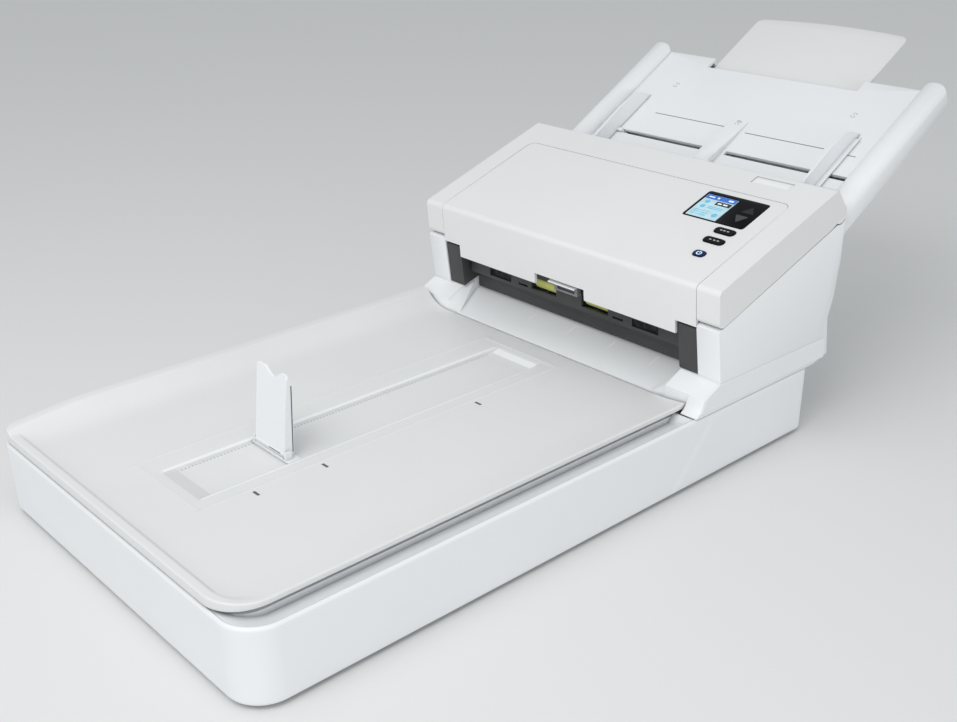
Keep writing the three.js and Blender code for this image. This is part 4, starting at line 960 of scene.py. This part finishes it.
def build_stopper():
    stations = spaced(STOPPER_LEFT, STOPPER_LEFT + 1.2, 0.3)
    stations += spaced(STOPPER_LEFT + 2, STOPPER_RIGHT - 3.4, 0.9)
    stations += spaced(STOPPER_RIGHT - 3, STOPPER_RIGHT, 0.3)
    rings = []
    for x in stations:
        top = stopper_top(x)
        rings.append([(x, stopper_face(STOPPER_FOOT), STOPPER_FOOT),
                      (x, stopper_face(top - 0.5), top - 0.5),
                      (x, stopper_face(top) + 0.5, top),
                      (x, stopper_face(top) + STOPPER_PLATE - 0.4, top),
                      (x, stopper_face(top - 0.5) + STOPPER_PLATE, top - 0.5),
                      (x, stopper_face(STOPPER_FOOT) + STOPPER_PLATE, STOPPER_FOOT)])
    flanges = []
    for x in (STOPPER_LEFT + 0.02, STOPPER_RIGHT - FLANGE - 0.02):
        side = filleted([(stopper_face(66.2) + 0.8, 66.2, 0), (147.4, 66.2, 1.5), (150.6, 122.0, 2.5),
                         (stopper_face(126.0) + 0.8, 126.2, 0)], 4)
        flanges.append(prism(side, x, x + FLANGE, "yz"))
    barrel = turned([(2.6, STOPPER_LEFT + 0.05), (2.6, STOPPER_RIGHT - 0.05)], "x",
                    (0, STOPPER_Y, STOPPER_PIVOT_Z), 28)
    slot = block(-10, 5.5, 130, STOPPER_Y - 0.6, 66.9, 68.0)
    bore = turned([(1.9, STOPPER_LEFT - 9), (1.9, STOPPER_RIGHT + 9)], "x",
                  (0, STOPPER_Y, STOPPER_PIVOT_Z), 20)
    make("paper_stopper_skin", lofted(rings), "stopper", "shell_white", stands_for=("paper_stopper",),
         joins=[*flanges, barrel], cuts=[slot, bore], edge=0.3, angle=50)
    outline = rounded_box(STOPPER_Y - 2.9, STOPPER_Y + 2.9, 63.4, STOPPER_PIVOT_Z + 2.7,
                          (0.6, 0.6, 2.4, 2.4), 5)
    cap = prism(outline, STOPPER_RIGHT + 2.15, STOPPER_RIGHT + 2.7, "yz")
    make("stopper_pin_cover", cap, "stopper_shoe", "shell_white", edge=0.2)
    # Painted shadow: a thin dark strip along the rear edge of the right flange stands in for the shadow behind it.
    shadow_line = prism([(146.1, 68), (146.9, 68), (149.9, 120.5), (149.1, 120.5)], STOPPER_RIGHT - 0.1,
                 STOPPER_RIGHT + 0.15, "yz")
    make("stopper_painted_shadow_line", shadow_line, "stopper", "ink_grey", edge=0)


# ---------------------------------------------------------------- head

PANEL_GAP = 0.35
PANEL_CORNER = 7.0
PANEL_END = 123.65
MOUTH_HALF = millimetres(PANEL_HIGH.x) + PANEL_GAP
SKIRT_FOOT = millimetres(PANEL_LOW.z)
SKIRT_WALL = 2.8
FACE_FOOT = (432.8, 128.7)
NOTCH_HALF = 30.0
COLUMN_INNER = 130.5
COLUMN_HEAD = 126.8
COVER_FRONT = (432.9, 129.2)
COVER_REAR = (577.0, 179.97)
COVER_ROUND = 1.7
PIVOT = axis_point("cover_hinge")
PIVOT_RADIUS = 8.6
KEY_DEPTH = 4.0
KEY_GAP = 0.4
PANEL_TILT = Matrix.Translation((0, PANEL_Y, PANEL_Z)) @ Matrix.Rotation(PANEL_SLOPE, 4, "X")


def panel_span(node):
    """Left, right, foot and head of a CAD node that lies square in the panel frame."""
    low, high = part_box(node)
    middle = PANEL_FRAME.inverted() @ ((low + high) / 2)
    size = high - low
    length = size.y * math.cos(PANEL_SLOPE) - size.z * math.sin(PANEL_SLOPE)
    half = length / math.cos(2 * PANEL_SLOPE) / 2
    return [millimetres(side) for side in (low.x, high.x, middle.y - half, middle.y + half)]


def key_place(node):
    """Centre of a key and half its width."""
    x0, x1, u0, u1 = panel_span(node)
    return (x0 + x1) / 2, (u0 + u1) / 2, (x1 - x0) / 2


BEZEL = panel_span("display_bezel")
SCREEN = panel_span("display_screen")
KEY_PLACES = {key: key_place(key) for key in ("upper_key", "lower_key", "power_key")}


def on_panel(shape):
    shape.transform(PANEL_TILT)
    return shape


def panel_point(u, h):
    point = PANEL_TILT @ Vector((0, u, h))
    return point.y, point.z


def face_y(z):
    """Front face of the head, which leans back a little towards its top."""
    return PANEL_Y + (PANEL_Z - z) * (FACE_FOOT[0] - PANEL_Y) / (PANEL_Z - FACE_FOOT[1])


def build_control_panel():
    half = MOUTH_HALF - PANEL_GAP
    skirt_y = face_y(SKIRT_FOOT)
    outline = [
        (*panel_point(PANEL_END, 0), 0),
        (PANEL_Y, PANEL_Z, 5),
        (skirt_y, SKIRT_FOOT, 0.6),
        (skirt_y + SKIRT_WALL, SKIRT_FOOT, 0.6),
        (PANEL_Y + SKIRT_WALL + 0.6, PANEL_Z - 2.6, 2.4),
        (*panel_point(PANEL_END, -SKIRT_WALL), 0),
    ]
    body = prism(filleted(outline, 8), -half, half, "yz")
    cuts = [block(-NOTCH_HALF, NOTCH_HALF, 420, 445, 110, 125)]
    turn_x = half - PANEL_CORNER
    turn_u = PANEL_END - PANEL_CORNER
    for side in (-1, 1):
        inner, outer = sorted((side * COLUMN_INNER, side * 160))
        cuts.append(block(inner, outer, 420, 445, 110, COLUMN_HEAD))
        corner = [(half, turn_u), *arc(turn_x, turn_u, PANEL_CORNER, 0, 90, 8), (turn_x, PANEL_END + 3),
                  (half + 3, PANEL_END + 3), (half + 3, turn_u)]
        cuts.append(on_panel(prism([(side * x, u) for x, u in corner], -9, 9)))
    x0, x1, u0, u1 = BEZEL
    opening = rounded_box(x0 - PANEL_GAP, x1 + PANEL_GAP, u0 - PANEL_GAP, u1 + PANEL_GAP, 2.8, 5)
    cuts.append(on_panel(prism(opening, -8, 4)))
    for x, u, reach in KEY_PLACES.values():
        across = reach + KEY_GAP
        along = KEY_DEPTH + KEY_GAP
        well = rounded_box(x - across, x + across, u - along, u + along, KEY_DEPTH, 8)
        cuts.append(on_panel(prism(well, -8, 4)))
    make("control_panel_skin", body, "cover", "cover_white", stands_for=("control_panel",), cuts=cuts,
         edge=0.35, angle=45)


def build_top_cover():
    outline = [
        (*COVER_FRONT, 5),
        (PANEL_Y, PANEL_Z, 5),
        (577.7, 211.2, 3),
        (580.7, 210.8, 0),
        (594.2, 192, 2),
        (593.4, 187, 1),
        (588, 186, 0),
        (*COVER_REAR, 0),
    ]
    body = prism(filleted(outline, 6), -HALF_WIDTH, HALF_WIDTH, "yz")
    slope = (COVER_REAR[1] - COVER_FRONT[1]) / (COVER_REAR[0] - COVER_FRONT[0])
    rims = []
    for edge in body.edges:
        (x0, y0, z0), (x1, y1, z1) = (vertex.co for vertex in edge.verts)
        over = (z0 + z1) / 2 - COVER_FRONT[1] - slope * ((y0 + y1) / 2 - COVER_FRONT[0])
        if abs(x0 - x1) < 1 and over > 0.5:
            rims.append(edge)
    bmesh.ops.bevel(body, geom=rims, offset=COVER_ROUND, offset_type="OFFSET", segments=3, profile=0.5,
                    affect="EDGES", clamp_overlap=True)
    inside = [(435.7, 120.7), (433.1, 159.5), (574.9, 207.7), (577.7, 207.3), (591.4, 183), (590.6, 178),
              (588, 178), (577, 171)]
    x0, x1, u0, u1 = panel_span("rear_key")
    rear_key = block(x0 - KEY_GAP, x1 + KEY_GAP, u0 - KEY_GAP, u1 + KEY_GAP, -8, 4)
    corner = PANEL_CORNER + PANEL_GAP
    inset = rounded_box(-MOUTH_HALF, MOUTH_HALF, -20, PANEL_END + PANEL_GAP, (0, 0, corner, corner))
    cuts = [
        prism(inside, -HALF_WIDTH + WALL, HALF_WIDTH - WALL, "yz"),
        block(-MOUTH_HALF, MOUTH_HALF, 570, 620, 150, 206),
        block(-MOUTH_HALF, MOUTH_HALF, 578.6, 620, 150, 240),
        on_panel(prism(inset, -50, 10)),
        on_panel(rear_key),
    ]
    make("top_cover_skin", body, "cover", "cover_white", stands_for=("top_cover",), cuts=cuts, edge=0.3,
         angle=50)
    reach = HALF_WIDTH - 0.15
    barrel = turned([(PIVOT_RADIUS, -reach), (PIVOT_RADIUS, reach)], "x", (0, *PIVOT), 56)
    make("cover_barrel", barrel, "cover", "shell_white", edge=0.6)


def build_display():
    x0, x1, _, u1 = SCREEN
    header = [rounded_box(x0 + 0.5, x1 - 0.3, u1 - 6.4, u1 - 0.4, 0.3, 2)]
    caption = [rounded_box(x0 + 15, x1 - 1.2, 100.2, 105.4, 0.3, 2)]
    icons = [arc(82.6, u, 2.4, 0, 350, 20) for u in (102.4, 95.4)]
    icons.append(arc(101.5, 86.8, 3.0, 0, 300, 5))
    rows = [rounded_box(x0 + 12, x0 + 27, u - 0.5, u + 0.5, 0.2, 2) for u in (96.6, 94.4)]
    rows += [rounded_box(x0 + 3, x0 + 18, u - 0.4, u + 0.4, 0.2, 2) for u in (89.4, 86.6, 83.6)]
    glints = [
        rounded_box(x0 + 3, x0 + 9, u1 - 4.2, u1 - 2.6, 0.4, 2),
        arc(x0 + 13, u1 - 3.4, 1.2, 0, 340, 10),
        rounded_box(x1 - 8, x1 - 3, u1 - 4.4, u1 - 2.4, 0.4, 2),
        rounded_box(x0 + 17, x0 + 21, 101.9, 103.6, 0.3, 2),
        rounded_box(x0 + 22.5, x0 + 27, 101.9, 103.6, 0.3, 2),
    ]
    layers = (
        ("screen_header", "screen_blue", header),
        ("screen_block", "screen_black", caption),
        ("screen_icons", "screen_cyan", icons),
        ("screen_rows", "screen_cyan", rows),
        ("screen_glints", "screen_pale", glints),
    )
    for height, (name, finish, outlines) in enumerate(layers):
        top = 0.05 + 0.01 * height
        make(name, together(*[prism(outline, -0.05, top) for outline in outlines]), "cover", finish,
             place=PANEL_FRAME, edge=0)
    for name, x, u, rise, finish in (("arrow_up", 125.4, 99.4, 9.2, "arrow_dim"),
                                     ("arrow_down", 124.2, 95.0, -9.9, "arrow_grey")):
        outline = filleted([(x - 6.4, u, 0.8), (x + 6.4, u, 0.8), (x, u + rise, 0.8)], 4)
        if rise < 0:
            outline.reverse()
        make(name, prism(outline, 0.0, 0.28), "cover", finish, place=PANEL_FRAME, edge=0)


def key_shape(x, u, reach, low, high):
    """Key cap with a slightly hollow, softly rounded top."""
    rings = []
    for inset, h in ((0, low), (0, high - 0.9), (0.15, high - 0.4), (0.5, high - 0.08), (1.1, high),
                     (2.2, high - 0.12)):
        outline = rounded_box(x - reach + inset, x + reach - inset, u - KEY_DEPTH + inset,
                              u + KEY_DEPTH - inset, KEY_DEPTH - 0.2 - inset, 10)
        rings.append([(a, b, h) for a, b in outline])
    return lofted(rings)


def build_keys():
    for name, (x, u, reach) in KEY_PLACES.items():
        finish = "navy" if name == "power_key" else "gloss_black"
        make(name + "_cap", key_shape(x, u, reach, -4.5, 1.1), name, finish, place=PANEL_FRAME,
             stands_for=(name,), edge=0, angle=60)
    for name, marks in (("upper_key", (-4.6, -1.4, 2.2)), ("lower_key", (-4.6, -0.6, 3.0))):
        x, u, _ = KEY_PLACES[name]
        bars = [prism(rounded_box(x + offset, x + offset + 2.2, u - 0.6, u + 0.6, 0.4, 3), 0.9, 1.03)
                for offset in marks]
        make(name + "_marks", together(*bars), name, "ink_pale", place=PANEL_FRAME, edge=0)
    x, u, _ = KEY_PLACES["power_key"]
    ring = arc(x, u - 0.1, 2.5, 125, 415, 20) + arc(x, u - 0.1, 1.7, 415, 125, 20)
    stem = rounded_box(x - 0.45, x + 0.45, u + 0.2, u + 3.0, 0.4, 3)
    make("power_icon", together(prism(ring, 0.85, 1.06), prism(stem, 0.85, 1.06)), "power_key", "icon_blue",
         place=PANEL_FRAME, edge=0)


LIP_HALF = 129.0
LIP_WINDOWS = ((15.5, 47, 102.6, 113.8), (74, 103, 101.2, 108), (52, 64, 102.2, 104.0))
FLAP_X = 31.0
FLAP_AXIS = (455.2, 110.6)
FLAP_PROFILE = ((6.6, -14), (7.6, -13), (7.9, -12), (7.9, 12), (7.6, 13), (6.6, 14))


def build_mouth_details():
    """Dark lip under the skirt, which carries the upper half of the exit, and what shows through it.
    The green sleeves are fixed to the cover, in front of the exit rollers, and run into them."""
    lip = block(-LIP_HALF, LIP_HALF, 446, 448.6, 98.4, 121)
    windows = []
    for side in (-1, 1):
        for near, far, low, high in LIP_WINDOWS:
            x0, x1 = sorted((side * near, side * far))
            windows.append(block(x0, x1, 440, 455, low, high))
    make("exit_lip", lip, "cover", "charcoal_plastic", cuts=windows, edge=0.35)
    # Painted shade: flat black sheets just behind the outer windows stand in for the shade deep inside the exit.
    backs = []
    flaps = []
    for side in (-1, 1):
        x0, x1 = sorted((side * 72, side * 105))
        backs.append(block(x0, x1, 449.0, 449.8, 100, 109))
        flaps.append(turned(FLAP_PROFILE, "x", (side * FLAP_X, *FLAP_AXIS), 56))
    make("exit_window_backs", together(*backs), "cover", "black_rubber", edge=0)
    make("exit_flaps", together(*flaps), "cover", "green_rubber", edge=0, angle=50)
    tab = prism(filleted([(434.7, 119.9, 0.5), (434.7, 121.4, 0.5), (446, 125.0, 0.3), (446, 123.2, 0.3)]),
                -15, 17, "yz")
    make("release_tab_skin", tab, "release_tab", "shell_white", stands_for=("release_tab",), edge=0.3)
    under = prism([(440.4, 112.4), (440.4, 120.3), (445.4, 121.6), (445.4, 112.4)], -12.5, 15.5, "yz")
    slot = block(-9, 12, 430, 443.5, 114.2, 118.4)
    make("release_lever", under, "release_tab", "grey_plastic", cuts=[slot], edge=0.3)


def build_ramp_ribs():
    ribs = []
    for x in spaced(-96, 96, 48):
        outline = [(423.5, 65.6), (457.2, 76.6), (457.2, 77.3), (428, 67.8), (423.5, 66.0)]
        ribs.append(prism(outline, x - 0.7, x + 0.7, "yz"))
    make("ramp_ribs", together(*ribs), "base", "shell_white", edge=0.2)


def build_side_flares():
    """Lower band of each side of the head, which stands a little proud above a clear crease."""
    rear = [(437.8, 83.6, 2), (579.5, 82.2, 2), (580.5, 63.8, 0.5)]
    toe = [(415.5, 63.8, 0.5), (418.8, 69.5, 1), (422.3, 76.2, 1)]
    for name, side, front in (("left", -1, [(422.3, 63.8, 0.5), (422.3, 76.2, 1)]), ("right", 1, toe)):
        outline = front + rear
        inner, outer = sorted((side * (HALF_WIDTH - 0.5), side * (HALF_WIDTH + 0.6)))
        make(f"side_flare_{name}", prism(filleted(outline), inner, outer, "yz"), "base", "shell_white",
             edge=0.5, segments=3)


# ---------------------------------------------------------------- hopper

def build_hopper_details():
    marks = []
    for x, v in ((-103, 86.5), (103, 88), (0, 50.5)):
        base = 0.0 if x else 0.75
        for turn in (20, 200):
            outline = (arc(x, v, 3.3, turn, turn + 125, 12) + arc(x, v, 2.5, turn + 125, turn, 12))
            marks.append(prism(outline, base - 0.05, base + 0.06))
        marks.append(prism(arc(x, v, 0.7, 0, 340, 10), base - 0.05, base + 0.06))
    make("tray_symbols", together(*marks), "base", "ink_pale", place=PATH_FRAME, edge=0)
    ticks = []
    for side in (-1, 1):
        for step in range(3):
            x = side * (120 + 3.5 * step)
            ticks.append(prism(rounded_box(x - 0.35, x + 0.35, 57.5, 62, 0.3, 2), -0.05, 0.06))
    make("tray_ticks", together(*ticks), "base", "ink_pale", place=PATH_FRAME, edge=0)
    seams = [prism(rounded_box(x0, x1, v - 0.4, v + 0.4, 0.35, 2), -0.05, 0.04)
             for x0, x1, v in ((-97, -9.6, 43), (15, 102, 40.2), (123, 135.5, 38.2))]
    make("tray_seams", together(*seams), "base", "ink_grey", place=PATH_FRAME, edge=0)
    gap = prism([(-11.5, 0.05), (-11.5, 4.3), (-7.0, 0.05)], -9.8, -4.4, "yz")
    make("rib_opening", gap, "base", "charcoal_plastic", place=PATH_FRAME, edge=0)


# ---------------------------------------------------------------- floor, light and camera

def add_floor():
    mesh = bpy.data.meshes.new("floor")
    size = 8.0
    corners = [(-size, -size, 0), (size, -size, 0), (size, size, 0), (-size, size, 0)]
    mesh.from_pydata(corners, [], [(0, 1, 2, 3)])
    floor = linked("floor", mesh)
    floor.data.materials.append(Shader("floor", (0.74, 0.74, 0.74), 0.9).material)


def add_area_light(name, position, target, size, power, colour=(1, 1, 1)):
    data = bpy.data.lights.new(name, "AREA")
    data.shape = "RECTANGLE"
    data.size, data.size_y = size
    data.energy = power
    data.color = colour
    light = linked(name, data)
    light.location = position
    light.rotation_euler = (Vector(target) - Vector(position)).to_track_quat("-Z", "Y").to_euler()


def add_world():
    world = bpy.data.worlds.new("studio")
    bpy.context.scene.world = world
    world.use_nodes = True
    background = world.node_tree.nodes["Background"]
    background.inputs["Color"].default_value = (0.95, 0.98, 1.0, 1)
    background.inputs["Strength"].default_value = 0.64


CAMERA_AZIMUTH = math.radians(48.832)
CAMERA_ELEVATION = math.radians(23.913)
CAMERA_ROLL = math.radians(-1.18)
CAMERA_PLACE = (710.5, -282.0, 497.0)
CAMERA_LENS = 46.49
SENSOR_WIDTH = 36.0


def add_camera():
    back = Vector((math.sin(CAMERA_AZIMUTH) * math.cos(CAMERA_ELEVATION),
                   -math.cos(CAMERA_AZIMUTH) * math.cos(CAMERA_ELEVATION), math.sin(CAMERA_ELEVATION)))
    right = (-back).cross(Vector((0, 0, 1))).normalized()
    up = right.cross(-back)
    rolled_right = right * math.cos(CAMERA_ROLL) + up * math.sin(CAMERA_ROLL)
    rolled_up = up * math.cos(CAMERA_ROLL) - right * math.sin(CAMERA_ROLL)
    matrix = Matrix((rolled_right, rolled_up, back)).transposed().to_4x4()
    matrix.translation = BASE_FRAME @ (Vector(CAMERA_PLACE) * MM)
    data = bpy.data.cameras.new("camera")
    data.lens = CAMERA_LENS
    data.sensor_width = SENSOR_WIDTH
    data.clip_start = 0.01
    camera = linked("camera", data)
    camera.matrix_world = matrix
    bpy.context.scene.camera = camera


dress_cad_nodes()
build_lid()
build_slot_runners()
build_slot_teeth()
build_size_ticks()
build_base_shell()
build_platen_frame()
build_platen_details()
build_stopper()
build_control_panel()
build_top_cover()
build_display()
build_keys()
build_mouth_details()
build_ramp_ribs()
build_side_flares()
build_hopper_details()
add_floor()
add_world()
add_area_light("key", (0.35, -1.35, 1.75), (0, 0.1, 0.05), (1.4, 1.0), 13.5, (1.0, 0.99, 0.975))
add_area_light("low_right", (2.1, -0.7, 0.35), (0, -0.1, 0.03), (1.4, 0.4), 7, (0.98, 0.99, 1.0))
add_area_light("front_fill", (0.6, -2.4, 0.7), (0, 0, 0.1), (1.6, 0.8), 4.8, (0.99, 0.995, 1.0))
add_area_light("mouth_fill", (0.15, -0.42, 0.7), (0, 0.05, 0.09), (0.8, 0.4), 0.9, (0.99, 0.995, 1.0))
add_camera()
bpy.context.scene.view_settings.view_transform = "Standard"
